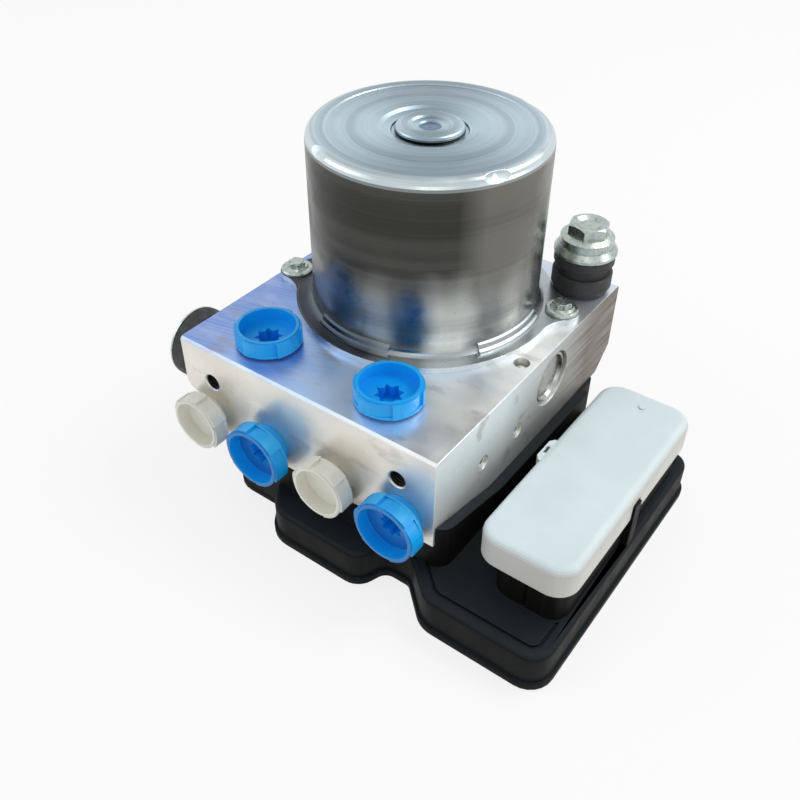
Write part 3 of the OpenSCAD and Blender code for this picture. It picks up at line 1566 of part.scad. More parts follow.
// Screw of the side mount with a wide flange and a low head
module side_mount_bolt() {
    color("#aab0b4") at_side_mount() difference() {
        union() {
            translate([0, 0, side_rubber_h + head_gap]) rotate_extrude() polygon([
                [0, 0],
                [side_flange_r, 0],
                [side_flange_r, side_flange_t - 0.3],
                [side_flange_r - 0.3, side_flange_t],
                [side_head_r + 0.4, side_flange_t],
                [side_head_r, side_head_h],
                [0, side_head_h]
            ]);
            translate([0, 0, -side_screw_depth])
                cylinder(r = side_screw_r, h = side_screw_depth + side_rubber_h + side_flange_t);
        }
        translate([0, 0, side_rubber_h]) cylinder(r = side_socket_r, h = side_head_h + over, $fn = 6);
    }
}

valve_block();
gallery_balls();
pump_plugs();
pump_cylinder_right();
pump_cylinder_left();
pump_piston_right();
pump_piston_left();
pump_spring_right();
pump_spring_left();
accumulator_piston_right();
accumulator_piston_left();
accumulator_spring_right();
accumulator_spring_left();
accumulator_caps();
inlet_valves();
outlet_valves();
inlet_plungers();
outlet_plungers();
inlet_springs();
outlet_springs();
valve_coils();
motor_can();
motor_magnets();
motor_shaft();
armature_core();
armature_winding();
commutator();
rear_bush();
front_bearing_outer();
front_bearing_inner();
front_bearing_balls();
brush_plate();
motor_brushes();
brush_springs();
motor_screws();
motor_seal();
motor_terminals();
eccentric_ring();
eccentric_needles();
ecu_housing();
ecu_cover();
ecu_gasket();
circuit_board();
board_components();
connector_pins();
ecu_screws();
connector_cap();
port_plug_top_left();
port_plug_top_right();
port_plug_front_1();
port_plug_front_2();
port_plug_front_3();
port_plug_front_4();
top_mount_rubber();
side_mount_rubber();
mount_sleeves();
top_mount_washer();
top_mount_bolt();
side_mount_bolt();
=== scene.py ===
import json
import math

import bmesh
import bpy
from mathutils import Matrix, Vector


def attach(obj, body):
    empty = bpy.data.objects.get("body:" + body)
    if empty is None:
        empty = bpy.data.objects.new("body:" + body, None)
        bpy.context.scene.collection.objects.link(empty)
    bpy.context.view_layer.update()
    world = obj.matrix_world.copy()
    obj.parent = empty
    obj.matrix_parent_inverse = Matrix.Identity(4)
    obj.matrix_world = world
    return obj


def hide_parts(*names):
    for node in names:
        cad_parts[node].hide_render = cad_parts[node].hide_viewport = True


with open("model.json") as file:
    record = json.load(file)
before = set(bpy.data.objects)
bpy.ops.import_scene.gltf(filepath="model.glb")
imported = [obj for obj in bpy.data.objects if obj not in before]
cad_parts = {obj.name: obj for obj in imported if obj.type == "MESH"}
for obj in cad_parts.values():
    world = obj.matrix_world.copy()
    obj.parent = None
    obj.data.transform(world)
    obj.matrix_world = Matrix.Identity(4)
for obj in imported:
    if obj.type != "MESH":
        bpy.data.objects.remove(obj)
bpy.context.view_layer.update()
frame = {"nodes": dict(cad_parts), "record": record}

MM = 0.001
nodes = frame["nodes"]
SLOT_OF = {entry["node"]: entry["material_slot"] for entry in frame["record"]["subparts"]}
BODY_OF = {node: body for body, members in frame["record"]["behaviour"]["bodies"].items() for node in members}

# Rounding of edges: merge distance, sharp angle, tolerance of a level and steps of a rounding
MERGE = 1e-6
SHARP = math.radians(32)
LEVEL = 2e-5
ROUND_STEPS = 5

# Camera, solved from the block's corners and the can's outline in the photograph
CAMERA_AT = Vector((143.39, -211.04, 223.09)) * MM
CAMERA_AZIMUTH = math.radians(36.05)
CAMERA_ELEVATION = math.radians(40.04)
CAMERA_ROLL = math.radians(0.41)
CAMERA_LENS = 40.85

# Motor can: foot and height of its wall, the bearings where its painted highlight fans and its painted lit
# side start, and those of the painted highlight fans on its crown and the painted light on its flange
CAN_FOOT = 0.055
CAN_WALL_H = 0.056
CAN_HIGHLIGHT_FAN_ANGLE = math.radians(45)
CAN_LIT_SIDE_ANGLE = math.radians(36)
CAN_CROWN_HIGHLIGHT_ANGLE = math.radians(126)
FLANGE_LIT_ANGLE = math.radians(8)

# Threaded holes in the block's front: places along X, height, where the first turn starts,
# number of turns, steps of a turn and pitch
THREAD_X = (-36.0, 36.6)
THREAD_Z = 42.1
THREAD_START_Y = -64.8
THREAD_TURNS = 8
THREAD_STEPS = 32
THREAD_PITCH = 1.0

# Control unit's housing: heights of its lobe and ledge, and the slope between them along X
LOBE_Z = 13.0
LEDGE_Z = 13.6
SLOPE_X = (33.0, 36.0)

# Light level: a pale matt surface facing up renders about as its colour is written
WORLD_LEVEL = 0.62
FLOOR_ALBEDO = 0.9
FLOOR_R = 4.0
FLOOR_GLOW = 0.79


# Nodes of one material, grown from its Principled shader
class Look:
    def __init__(self, name, color, rough, metal=0.0, edge=0.2, **sockets):
        self.material = bpy.data.materials.new(name)
        self.material.use_nodes = True
        self.tree = self.material.node_tree
        self.shader = self.tree.nodes["Principled BSDF"]
        self.fill(self.shader, {"Base Color": (*color, 1), "Roughness": rough, "Metallic": metal})
        self.fill(self.shader, {k.replace("_", " "): v for k, v in sockets.items()})
        coordinates = self.add("TexCoord")
        self.where = coordinates.outputs["Object"]
        self.normal = coordinates.outputs["Normal"]
        self.rounded = self.add("Bevel", {"Radius": edge * MM}, samples=6).outputs["Normal"]
        self.link(self.rounded, "Normal")

    def fill(self, node, inputs):
        for key, value in inputs.items():
            if isinstance(value, bpy.types.NodeSocket):
                self.tree.links.new(value, node.inputs[key])
            else:
                node.inputs[key].default_value = value

    def add(self, kind, inputs=None, **settings):
        node = self.tree.nodes.new("ShaderNode" + kind)
        for key, value in settings.items():
            setattr(node, key, value)
        self.fill(node, inputs or {})
        return node

    def link(self, socket, name):
        self.tree.links.new(socket, self.shader.inputs[name])

    def calc(self, operation, a, b=0.0, c=0.0):
        return self.add("Math", {0: a, 1: b, 2: c}, operation=operation).outputs[0]

    def parts(self, vector):
        return self.add("SeparateXYZ", {0: vector}).outputs

    def join(self, x, y, z):
        return self.add("CombineXYZ", {0: x, 1: y, 2: z}).outputs[0]

    # Noise whose grain is size millimetres, stretched along the axes whose share is small
    def noise(self, size, detail=3.0, stretch=(1, 1, 1), vector=None, rough=0.5, warp=0.0):
        scale = tuple(s / (size * MM) for s in stretch)
        place = self.add("Mapping", {"Vector": vector or self.where, "Scale": scale})
        inputs = {"Vector": place.outputs[0], "Scale": 1.0, "Detail": detail}
        inputs.update({"Roughness": rough, "Distortion": warp})
        return self.add("TexNoise", inputs).outputs["Fac"]

    def cells(self, size, stretch=(1, 1, 1), feature="F1"):
        scale = tuple(s / (size * MM) for s in stretch)
        place = self.add("Mapping", {"Vector": self.where, "Scale": scale})
        inputs = {"Vector": place.outputs[0], "Scale": 1.0}
        return self.add("TexVoronoi", inputs, feature=feature).outputs["Distance"]

    # Colour or grey value that follows a factor through stops of (place, value)
    def ramp(self, factor, *stops):
        node = self.add("ValToRGB", {"Fac": factor})
        elements = node.color_ramp.elements
        while len(elements) < len(stops):
            elements.new(1.0)
        for element, (place, value) in zip(elements, stops):
            element.position = place
            element.color = (*value, 1) if isinstance(value, tuple) else (value, value, value, 1)
        return node.outputs["Color"]

    def mix(self, factor, a, b, blend="MIX"):
        node = self.add("Mix", data_type="RGBA", blend_type=blend)
        pads = [(*v, 1) if isinstance(v, tuple) and len(v) == 3 else v for v in (a, b)]
        for socket, value in ((node.inputs[0], factor), (node.inputs[6], pads[0]), (node.inputs[7], pads[1])):
            if isinstance(value, bpy.types.NodeSocket):
                self.tree.links.new(value, socket)
            else:
                socket.default_value = value
        return node.outputs[2]

    # Share of the surface that faces an axis of the part
    def facing(self, axis, low=0.55, high=0.8):
        dot = self.add("VectorMath", {0: self.normal, 1: axis}, operation="DOT_PRODUCT").outputs["Value"]
        return self.ramp(dot, (low, 0.0), (high, 1.0))

    def scaled(self, value, factor, shift=0.0):
        return self.calc("MULTIPLY_ADD", value, factor, shift)

    # Distance in plan from a point
    def distance(self, x, y, centre):
        offsets = [self.calc("SUBTRACT", v, c) for v, c in zip((x, y), centre)]
        squares = [self.calc("POWER", self.calc("ABSOLUTE", offset), 2.0) for offset in offsets]
        return self.calc("SQRT", self.calc("ADD", *squares))

    def bump(self, height, depth, strength=1.0):
        inputs = {"Height": height, "Distance": depth * MM, "Strength": strength, "Normal": self.rounded}
        node = self.add("Bump", inputs)
        self.rounded = node.outputs["Normal"]
        self.link(self.rounded, "Normal")

    def finish(self, color=None, rough=None):
        if color is not None:
            self.link(color, "Base Color")
        if rough is not None:
            self.link(rough, "Roughness")
        return self.material


# Milled and sawn aluminium: cutter arcs on top, streaks on the sides, stains and small scratches, with
# painted light: a painted sky reflection and glare on top, a painted warm reflection on the front, a painted
# bright right face with a painted brown reflection at its back, and painted shade in the threaded holes
def block_metal():
    look = Look("block_metal", (0.6, 0.6, 0.6), 0.35, 0.82, edge=0.35)
    x, y, z = look.parts(look.where)[:3]
    top = look.facing((0, 0, 1))
    front = look.facing((0, -1, 0))
    right = look.facing((1, 0, 0))
    flank = look.calc("ADD", right, look.facing((-1, 0, 0)))
    fine = look.mix(flank, look.noise(0.35, 4, (0.02, 1, 1)), look.noise(0.35, 4, (1, 0.02, 1)))
    saw = look.mix(flank, look.noise(0.9, 3, (0.03, 1, 1)), look.noise(0.9, 3, (1, 0.03, 1)))
    sweep = look.distance(x, y, (-0.09, 0.16))
    arcs = look.noise(0.8, 3, vector=look.join(sweep, 0.0, 0.0))
    # Painted light on the sides: the right face is painted bright, with a painted brown reflection towards
    # its back, and the other sides are painted darker
    back = look.ramp(look.scaled(y, 10.0, 0.5), (0.2, 0.0), (0.75, 1.0))
    side = look.mix(look.noise(26, 4), (0.78, 0.86, 0.86), (0.95, 1.0, 1.0))
    side = look.mix(look.calc("MULTIPLY", back, right), side, (0.13, 0.10, 0.06))
    side = look.mix(right, look.mix(look.noise(26, 4), (0.36, 0.37, 0.38), (0.56, 0.57, 0.58)), side)
    # Painted warm reflection: the warm tone of the front face
    face = look.mix(look.noise(16, 4), (0.66, 0.61, 0.52), (0.95, 0.93, 0.85))
    # Painted sky reflection on the top, blue towards -X with bluish patches and a paler back, turning to a
    # painted glare towards +X
    across = look.calc("ADD", look.scaled(x, 10.0, 0.42), look.scaled(look.noise(24, 3), 0.5, -0.25))
    painted_sky_left, painted_sky_mid, painted_glare_right = (0.14, 0.27, 0.66), (0.37, 0.58, 0.90), (0.95, 0.97, 0.93)
    painted_roof_light = look.ramp(across, (0.05, painted_sky_left), (0.45, painted_sky_mid), (0.9, painted_glare_right))
    patches = look.ramp(look.noise(9, 4, (0.5, 1, 1)), (0.45, 0.0), (0.7, 0.4))
    painted_roof_light = look.mix(patches, painted_roof_light, (0.56, 0.64, 0.80))
    painted_roof_light = look.mix(look.ramp(look.scaled(y, 10.0, 0.5), (0.55, 0.0), (0.85, 0.8)), painted_roof_light, (0.60, 0.66, 0.74))
    color = look.mix(top, look.mix(front, side, face), painted_roof_light)
    color = look.mix(look.ramp(look.mix(top, saw, arcs), (0.3, 0.0), (0.7, 0.3)), color, (0.74, 0.79, 0.86))
    stain = look.ramp(look.noise(7, 5, (0.5, 1, 1)), (0.60, 0.0), (0.74, 0.5))
    color = look.mix(stain, color, (0.30, 0.26, 0.22))
    smear = look.ramp(look.noise(5, 4, (0.35, 1, 1), warp=1.2), (0.62, 0.0), (0.7, 0.6))
    color = look.mix(look.calc("MULTIPLY", smear, front), color, (0.88, 0.86, 0.83))
    scratch = look.ramp(look.noise(2.2, 2, (0.05, 1, 1), warp=0.6), (0.70, 0.0), (0.76, 0.5))
    color = look.mix(look.calc("MULTIPLY", scratch, look.scaled(flank, -1.0, 1.0)), color, (0.9, 0.9, 0.9))
    # Painted shade: the block's colour is nearly black inside the two threaded holes
    for hole_x in THREAD_X:
        from_axis = look.distance(x, z, (hole_x * MM, THREAD_Z * MM))
        painted_hole_shade = look.ramp(look.scaled(from_axis, 100.0), (0.29, 1.0), (0.31, 0.0))
        hole_shade_depth = look.ramp(look.scaled(y, 100.0, 6.53), (0.0, 0.0), (0.03, 1.0))
        color = look.mix(look.calc("MULTIPLY", painted_hole_shade, hole_shade_depth), color, (0.02, 0.02, 0.018))
    look.bump(look.mix(top, fine, arcs), 0.012)
    look.bump(look.noise(14, 2), 0.05)
    satin = look.ramp(look.noise(9, 4), (0.25, 0.26), (0.75, 0.44))
    return look.finish(color, look.mix(top, look.mix(front, (0.55, 0.55, 0.55), satin), satin))


# Deep-drawn steel: bands round the wall, rings on the crown, painted highlight fans low on the wall and on
# the crown, painted highlights on the crown's ledge and rim, a wall painted dark with a painted lit side,
# painted shade in the centre dimple and painted light and shade on the flange
def can_metal():
    look = Look("can_metal", (0.4, 0.4, 0.38), 0.3, 1.0, edge=0.3, Anisotropic=0.55)
    x, y, z = look.parts(look.where)[:3]
    radius = look.distance(x, y, (0.0, 0.0))
    ring = look.join(radius, z, 0.0)
    bands = look.noise(5.5, 5, vector=ring, rough=0.6)
    lines = look.noise(0.5, 3, vector=ring)
    wide = look.noise(12, 5, vector=ring, rough=0.55)
    top = look.facing((0, 0, 1), 0.05, 0.3)
    low = look.scaled(z, 1 / CAN_WALL_H, -CAN_FOOT / CAN_WALL_H)
    angle = look.calc("ARCTAN2", x, look.calc("MULTIPLY", y, -1.0))
    drift = look.scaled(look.noise(18, 2), 0.3, -0.15)
    # Painted highlight: fans of light low on the wall, where the wall is also less metallic
    turned = look.calc("ADD", look.scaled(angle, 1.0, -CAN_HIGHLIGHT_FAN_ANGLE), drift)
    waves = [look.calc("COSINE", look.calc("MULTIPLY", turned, count)) for count in (3.0, 10.0)]
    both = look.calc("ADD", look.scaled(waves[0], 0.55), look.scaled(waves[1], 0.45))
    painted_highlight_fans = look.ramp(both, (0.0, 0.0), (0.85, 1.0))
    # The wall's colour is a painted dark reflection, lighter on one side as a painted lit side
    painted_lit_side = look.ramp(look.calc("SINE", look.scaled(angle, 1.0, -CAN_LIT_SIDE_ANGLE)), (0.2, 0.0), (0.42, 1.0))
    wall = look.mix(painted_lit_side, (0.044, 0.044, 0.04), (0.165, 0.16, 0.14))
    wall = look.mix(look.ramp(wide, (0.45, 0.0), (0.75, 0.35)), wall, (0.17, 0.17, 0.155))
    uneven = look.calc("ADD", low, look.scaled(look.noise(20, 2), 0.2, -0.1))
    low_wall_highlight = look.ramp(uneven, (0.08, 1.0), (0.56, 0.0))
    painted_shine = look.mix(painted_highlight_fans, (0.32, 0.34, 0.34), (0.92, 0.94, 0.88))
    wall = look.mix(low_wall_highlight, wall, painted_shine)
    look.link(look.scaled(look.calc("MULTIPLY", low_wall_highlight, painted_highlight_fans), -0.55, 1.0), "Metallic")
    height = look.scaled(z, 10.0)
    wall = look.mix(look.ramp(height, (0.571, 0.9), (0.574, 0.0)), wall, (0.72, 0.75, 0.76))
    # Painted highlight fans on the crown, two bright and two dark; the crown's bluish tones are a painted sky
    # reflection
    painted_crown_fans = look.calc("COSINE", look.scaled(angle, 2.0, -2.0 * CAN_CROWN_HIGHLIGHT_ANGLE))
    crown_highlight_shade = look.calc("ADD", look.scaled(painted_crown_fans, 0.32, 0.0), look.scaled(bands, 0.9, 0.02))
    crown = look.ramp(crown_highlight_shade, (0.15, (0.21, 0.285, 0.33)), (0.85, (0.47, 0.60, 0.67)))
    # Painted shade: the centre dimple is painted dark blue
    painted_dimple_shade = look.ramp(look.scaled(radius, 100.0), (0.30, 0.8), (0.36, 0.0))
    crown = look.mix(painted_dimple_shade, crown, (0.08, 0.135, 0.24))
    # Painted highlights: a thin bright ring at the crown's ledge and a bright band on the rim
    reach = look.scaled(radius, 10.0)
    crown = look.mix(look.ramp(reach, (0.306, 0.0), (0.31, 0.55), (0.314, 0.0)), crown, (0.80, 0.85, 0.86))
    crown = look.mix(look.ramp(reach, (0.335, 0.0), (0.352, 0.5)), crown, (0.80, 0.86, 0.86))
    # Painted light and shade on the flange: bright on one side, dark on the other
    painted_flange_light = look.ramp(look.calc("SINE", look.scaled(angle, 1.0, -FLANGE_LIT_ANGLE)), (0.0, 0.0), (0.3, 1.0))
    lit_flange_colour = look.mix(painted_flange_light, (0.04, 0.05, 0.065), (0.42, 0.46, 0.47))
    crown = look.mix(look.ramp(look.scaled(z, 10.0), (0.60, 1.0), (0.62, 0.0)), crown, lit_flange_colour)
    color = look.mix(top, wall, crown)
    dark = look.mix(top, (0.036, 0.035, 0.03), (0.20, 0.25, 0.30))
    color = look.mix(look.ramp(look.mix(top, wide, bands), (0.32, 0.45), (0.48, 0.0)), color, dark)
    light = look.mix(top, (0.24, 0.24, 0.22), (0.8, 0.84, 0.86))
    color = look.mix(look.ramp(lines, (0.55, 0.0), (0.75, 0.2)), color, light)
    look.link(look.add("Tangent", direction_type="RADIAL", axis="Z").outputs[0], "Tangent")
    look.bump(lines, 0.01)
    look.bump(look.noise(11, 2, (1, 1, 2)), 0.06)
    return look.finish(color, look.ramp(look.noise(8, 4), (0.3, 0.2), (0.7, 0.38)))


# Zinc-plated fasteners with a faint blue and straw bloom
def zinc_metal():
    look = Look("zinc_metal", (0.55, 0.6, 0.62), 0.28, 1.0, edge=0.18)
    bloom = look.mix(look.noise(3.2, 3), (0.35, 0.43, 0.48), (0.56, 0.60, 0.49))
    pits = look.ramp(look.noise(1.2, 4), (0.48, 0.0), (0.76, 0.6))
    color = look.mix(pits, bloom, (0.18, 0.20, 0.22))
    look.bump(look.noise(0.5, 4), 0.02)
    return look.finish(color, look.ramp(look.noise(1.5, 3), (0.3, 0.18), (0.7, 0.4)))


# Turned or pressed plain steel
def steel_metal(name, shade, rough, grain=0.4):
    look = Look(name, shade, rough, 1.0, edge=0.15)
    tone = look.noise(4, 4)
    color = look.mix(tone, tuple(0.72 * c for c in shade), tuple(min(1.0, 1.2 * c) for c in shade))
    look.bump(look.noise(grain, 3), 0.01)
    return look.finish(color, look.ramp(look.noise(2, 3), (0.3, rough * 0.7), (0.7, min(1.0, rough * 1.35))))


# Copper wire laid side by side
def winding_metal():
    look = Look("winding_metal", (0.6, 0.26, 0.09), 0.35, 0.9, edge=0.2)
    turns = look.noise(0.7, 2, (1, 1, 0.1))
    color = look.mix(turns, (0.32, 0.11, 0.03), (0.80, 0.38, 0.14))
    look.bump(turns, 0.2)
    return look.finish(color, look.ramp(look.noise(2), (0.3, 0.25), (0.7, 0.45)))


# Moulded plastic with its grain, a little dust and paler rubbed edges. Faces that don't look up take a
# painted side shade, and faces ahead of the block that look forwards take a painted shade too
def plastic(name, shade, rough, grain=0.35, depth=0.02, edge=0.4, wear=0.35, dust=0.3,
            painted_side_shade=None, shaded=None, **sockets):
    look = Look(name, shade, rough, 0.0, edge=edge, **sockets)
    cloud = look.noise(22, 3)
    color = look.mix(cloud, tuple(0.86 * c for c in shade), tuple(min(1.0, 1.1 * c) for c in shade))
    # Painted shade on faces that don't look up
    if painted_side_shade:
        color = look.mix(look.facing((0, 0, 1), 0.2, 0.9), painted_side_shade, color)
    if shaded:
        y = look.parts(look.where)[1]
        ahead = look.ramp(look.scaled(y, -10.0), (0.645, 0.0), (0.655, 1.0), (0.763, 1.0), (0.768, 0.0))
        color = look.mix(look.calc("MULTIPLY", ahead, look.facing((0, -1, 0))), color, shaded)
    rub = look.ramp(look.add("NewGeometry").outputs["Pointiness"], (0.52, 0.0), (0.6, wear))
    color = look.mix(rub, color, tuple(min(1.0, 1.5 * c + 0.05) for c in shade))
    specks = look.ramp(look.noise(1.1, 5), (0.66, 0.0), (0.78, dust))
    color = look.mix(specks, color, tuple(0.5 * c + 0.16 for c in shade))
    look.bump(look.noise(grain, 3), depth)
    smooth = look.ramp(look.noise(7, 4), (0.3, rough * 0.85), (0.7, min(1.0, rough * 1.15)))
    return look.finish(color, smooth)


# Rubber with fine vertical streaks and a dull bloom
def rubber(name):
    look = Look(name, (0.03, 0.031, 0.033), 0.65, 0.0, edge=0.4)
    streak = look.noise(0.8, 4, (1, 1, 0.08))
    bloom = look.ramp(look.noise(5, 4), (0.45, 0.0), (0.75, 0.5))
    color = look.mix(streak, (0.014, 0.014, 0.015), (0.034, 0.035, 0.037))
    color = look.mix(bloom, color, (0.05, 0.052, 0.056))
    look.bump(streak, 0.03)
    look.bump(look.noise(0.5, 3), 0.02)
    return look.finish(color, look.ramp(look.noise(3), (0.3, 0.5), (0.7, 0.78)))


# Circuit board with tracks under its green varnish
def board_varnish():
    look = Look("board_varnish", (0.03, 0.2, 0.08), 0.35, 0.0, edge=0.15, Coat_Weight=0.3)
    tracks = look.ramp(look.cells(2.4, (1, 0.25, 1), "DISTANCE_TO_EDGE"), (0.06, 1.0), (0.1, 0.0))
    color = look.mix(tracks, (0.02, 0.13, 0.05), (0.05, 0.30, 0.11))
    look.bump(tracks, 0.03)
    return look.finish(color, look.ramp(look.noise(4), (0.3, 0.3), (0.7, 0.45)))


LOOKS = {
    "block_aluminium": block_metal(),
    "can_steel": can_metal(),
    "zinc_steel": zinc_metal(),
    "plain_steel": steel_metal("plain_metal", (0.40, 0.41, 0.39), 0.3),
    "ground_steel": steel_metal("ground_metal", (0.70, 0.71, 0.72), 0.18, 0.2),
    "spring_steel": steel_metal("spring_metal", (0.46, 0.47, 0.49), 0.3, 0.2),
    "core_steel": steel_metal("core_metal", (0.34, 0.33, 0.31), 0.45),
    "ferrite": plastic("ferrite", (0.06, 0.058, 0.056), 0.6, 0.3, 0.04, 0.3, 0.2, 0.1),
    "winding_copper": winding_metal(),
    "commutator_copper": steel_metal("commutator_metal", (0.72, 0.40, 0.20), 0.25, 0.3),
    "coil_body": plastic("coil_body", (0.30, 0.14, 0.05), 0.45),
    "bronze": steel_metal("bronze_metal", (0.52, 0.40, 0.22), 0.5, 0.3),
    "carbon": plastic("carbon", (0.035, 0.035, 0.036), 0.5, 0.3, 0.04, 0.2, 0.4, 0.1),
    "tinned_brass": steel_metal("terminal_metal", (0.76, 0.68, 0.46), 0.25, 0.3),
    # Black plastic: faces that don't look up are painted darker, as painted side shade
    "black_plastic": plastic("black_plastic", (0.019, 0.024, 0.027), 0.5, 0.35, 0.02, 0.6, 0.12, 0.05,
                             painted_side_shade=(0.0056, 0.0056, 0.005), IOR=1.22, Specular_IOR_Level=0.2),
    "brush_plastic": plastic("brush_plastic", (0.04, 0.04, 0.042), 0.5),
    "board": board_varnish(),
    "components": plastic("component_plastic", (0.03, 0.03, 0.032), 0.5, 0.25, 0.015, 0.2),
    "rubber_black": rubber("mount_rubber"),
    "seal_rubber": rubber("seal_rubber"),
    "blue_plastic": plastic("blue_plastic", (0.0015, 0.39, 1.0), 0.36, 0.5, 0.015, 0.25, 0.25, 0.05,
                            shaded=(0.0015, 0.15, 0.5),
                            Subsurface_Weight=0.12, Subsurface_Radius=(0.001, 0.002, 0.004)),
    "white_plastic": plastic("white_plastic", (0.78, 0.775, 0.70), 0.42, 0.5, 0.015, 0.25, 0.2, 0.05,
                             Subsurface_Weight=0.4, Subsurface_Radius=(0.004, 0.004, 0.0035)),
    # Cap: its bluish top colour is a painted sky reflection, and its sides take a painted side shade
    "cap_plastic": plastic("cap_plastic", (0.70, 0.81, 0.85), 0.38, 0.8, 0.01, 0.4, 0.15, 0.03,
                           painted_side_shade=(0.50, 0.505, 0.475), Subsurface_Weight=0.5,
                           Subsurface_Radius=(0.005, 0.005, 0.005)),
}


def dress_nodes():
    for name, slot in SLOT_OF.items():
        nodes[name].data.materials.clear()
        nodes[name].data.materials.append(LOOKS[slot])


# Copy of a node that stands for it, with its rims rounded in code
def rounded_copy(name, rims, shape=None, finish=None):
    bm = bmesh.new()
    bm.from_mesh(nodes[name].data)
    bmesh.ops.remove_doubles(bm, verts=bm.verts, dist=MERGE)
    if shape:
        shape(bm)
        bmesh.ops.remove_doubles(bm, verts=bm.verts, dist=MERGE)
        bmesh.ops.dissolve_degenerate(bm, edges=bm.edges, dist=MERGE)
    for z, side, depth, r in rims:
        round_rim(bm, z * MM, side, depth * MM, r * MM)
    if finish:
        finish(bm)
    stand_in(name + "_rounded", bm, name)


# Faces of a set that hang together with the given ones
def connected(start, among):
    found, queue = set(start), list(start)
    while queue:
        for edge in queue.pop().edges:
            new = [f for f in edge.link_faces if f in among and f not in found]
            found.update(new)
            queue.extend(new)
    return found


# Rounds a flat face at height z that looks up (side 1) or down (side -1), where deep walls leave it
def round_rim(bm, z, side, depth, r):
    flat = {f for f in bm.faces if f.normal.z * side > 0.999 and abs(f.calc_center_median().z - z) < LEVEL}
    chosen = [e for e in bm.edges if sum(f in flat for f in e.link_faces) == 1
              and max(side * (z - v.co.z) for f in e.link_faces for v in f.verts) > depth]
    inside = connected([f for e in chosen for f in e.link_faces if f in flat], flat)
    border = [e for e in bm.edges if sum(f in inside for f in e.link_faces) == 1]
    links, kept = {}, {}
    for e in border:
        for v in e.verts:
            (links if e in chosen else kept).setdefault(v, []).append(e)
    across = {e: next(f for f in e.link_faces if f not in inside).normal.xy.normalized() for e in chosen}
    column, closing = {}, []
    for v, edges in links.items():
        out = [across[e] for e in edges]
        if len(out) == 2:
            inward = -(out[0] + out[1]) / (1.0 + out[0].dot(out[1]))
        else:
            along = (kept[v][0].other_vert(v).co - v.co).xy.normalized()
            inward = along / along.dot(-out[0])
        column[v] = [v]
        for k in range(1, ROUND_STEPS + 1):
            a = math.pi / 2 * k / ROUND_STEPS
            shift = inward * (r * (1.0 - math.cos(a)))
            drop = side * r * (1.0 - math.sin(a))
            column[v].append(bm.verts.new((v.co.x + shift.x, v.co.y + shift.y, z - drop)))
        if len(out) == 1:
            closing.append((v, kept[v][0].other_vert(v)))
    bmesh.ops.delete(bm, geom=list(inside), context="FACES")
    for v in links:
        v.co.z = z - side * r
    open_edges = [e for e in bm.edges if e.is_boundary and e not in chosen]
    fill = [e for e in open_edges if not any(v in links for v in e.verts)]
    for e in chosen:
        p, q = (column[v] for v in e.verts)
        for k in range(ROUND_STEPS):
            bm.faces.new((p[k], q[k], q[k + 1], p[k + 1]))
        fill.append(bm.edges.get((p[-1], q[-1])))
    for v, far in closing:
        bm.faces.new(column[v] + [far])
        fill.append(bm.edges.get((column[v][-1], far)))
    bmesh.ops.triangle_fill(bm, use_beauty=True, use_dissolve=False, edges=fill, normal=(0.0, 0.0, side))
    bmesh.ops.recalc_face_normals(bm, faces=bm.faces)


# Object from a bmesh that stands for a node, with that node's body and the look of its slot
def stand_in(name, bm, node):
    for face in bm.faces:
        face.smooth = True
    for edge in bm.edges:
        edge.smooth = edge.calc_face_angle(0.0) < SHARP
    piece = make_piece(name, bm, SLOT_OF[node])
    piece.modifiers.new("flat faces", "WEIGHTED_NORMAL").keep_sharp = True
    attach(piece, BODY_OF[node])
    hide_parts(node)


def make_piece(name, bm, slot):
    mesh = bpy.data.meshes.new(name)
    bm.to_mesh(mesh)
    bm.free()
    mesh.materials.append(LOOKS[slot])
    piece = bpy.data.objects.new(name, mesh)
    bpy.context.scene.collection.objects.link(piece)
    return piece


# Housing of the control unit: the low lobe is lifted to the ledge, rounded with it and lowered again
def round_housing():
    def flush_lobe(bm):
        for vert in bm.verts:
            if abs(vert.co.z - LOBE_Z * MM) < LEVEL:
                vert.co.z = LEDGE_Z * MM

    def lower_lobe(bm):
        for x in SLOPE_X:
            geometry = list(bm.verts) + list(bm.edges) + list(bm.faces)
            bmesh.ops.bisect_plane(bm, geom=geometry, dist=MERGE, plane_co=(x * MM, 0, 0), plane_no=(1, 0, 0))
        for vert in bm.verts:
            if (LOBE_Z - 2) * MM < vert.co.z < (LEDGE_Z + 0.1) * MM:
                share = (SLOPE_X[1] * MM - vert.co.x) / ((SLOPE_X[1] - SLOPE_X[0]) * MM)
                vert.co.z -= min(1.0, max(0.0, share)) * (LEDGE_Z - LOBE_Z) * MM

    rounded_copy("ecu_housing", [(LEDGE_Z, 1, 8.0, 1.5)], flush_lobe, lower_lobe)


def round_cover():
    rounded_copy("ecu_cover", [(0.0, -1, 1.5, 0.5)])


# Ridge of a screw thread inside a hole that opens towards -Y
def thread_ridge(name, x, z):
    bm = bmesh.new()
    rows = []
    for i in range(THREAD_TURNS * THREAD_STEPS + 1):
        turn = i / THREAD_STEPS
        a = 2 * math.pi * i / THREAD_STEPS
        y = THREAD_START_Y + THREAD_PITCH * i / THREAD_STEPS
        grow = min(1.0, turn, THREAD_TURNS - turn)
        rim = [(2.6, -0.42), (2.5 - 0.34 * grow, 0.0), (2.6, 0.42)]
        points = [(x + r * math.cos(a), y + dy, z + r * math.sin(a)) for r, dy in rim]
        rows.append([bm.verts.new(Vector(point) * MM) for point in points])
    for p, q in zip(rows, rows[1:]):
        for k in range(3):
            bm.faces.new((p[k], p[(k + 1) % 3], q[(k + 1) % 3], q[k]))
    bm.faces.new(rows[0][::-1])
    bm.faces.new(rows[-1])
    bmesh.ops.recalc_face_normals(bm, faces=bm.faces)
    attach(make_piece(name, bm, "block_aluminium"), "module")


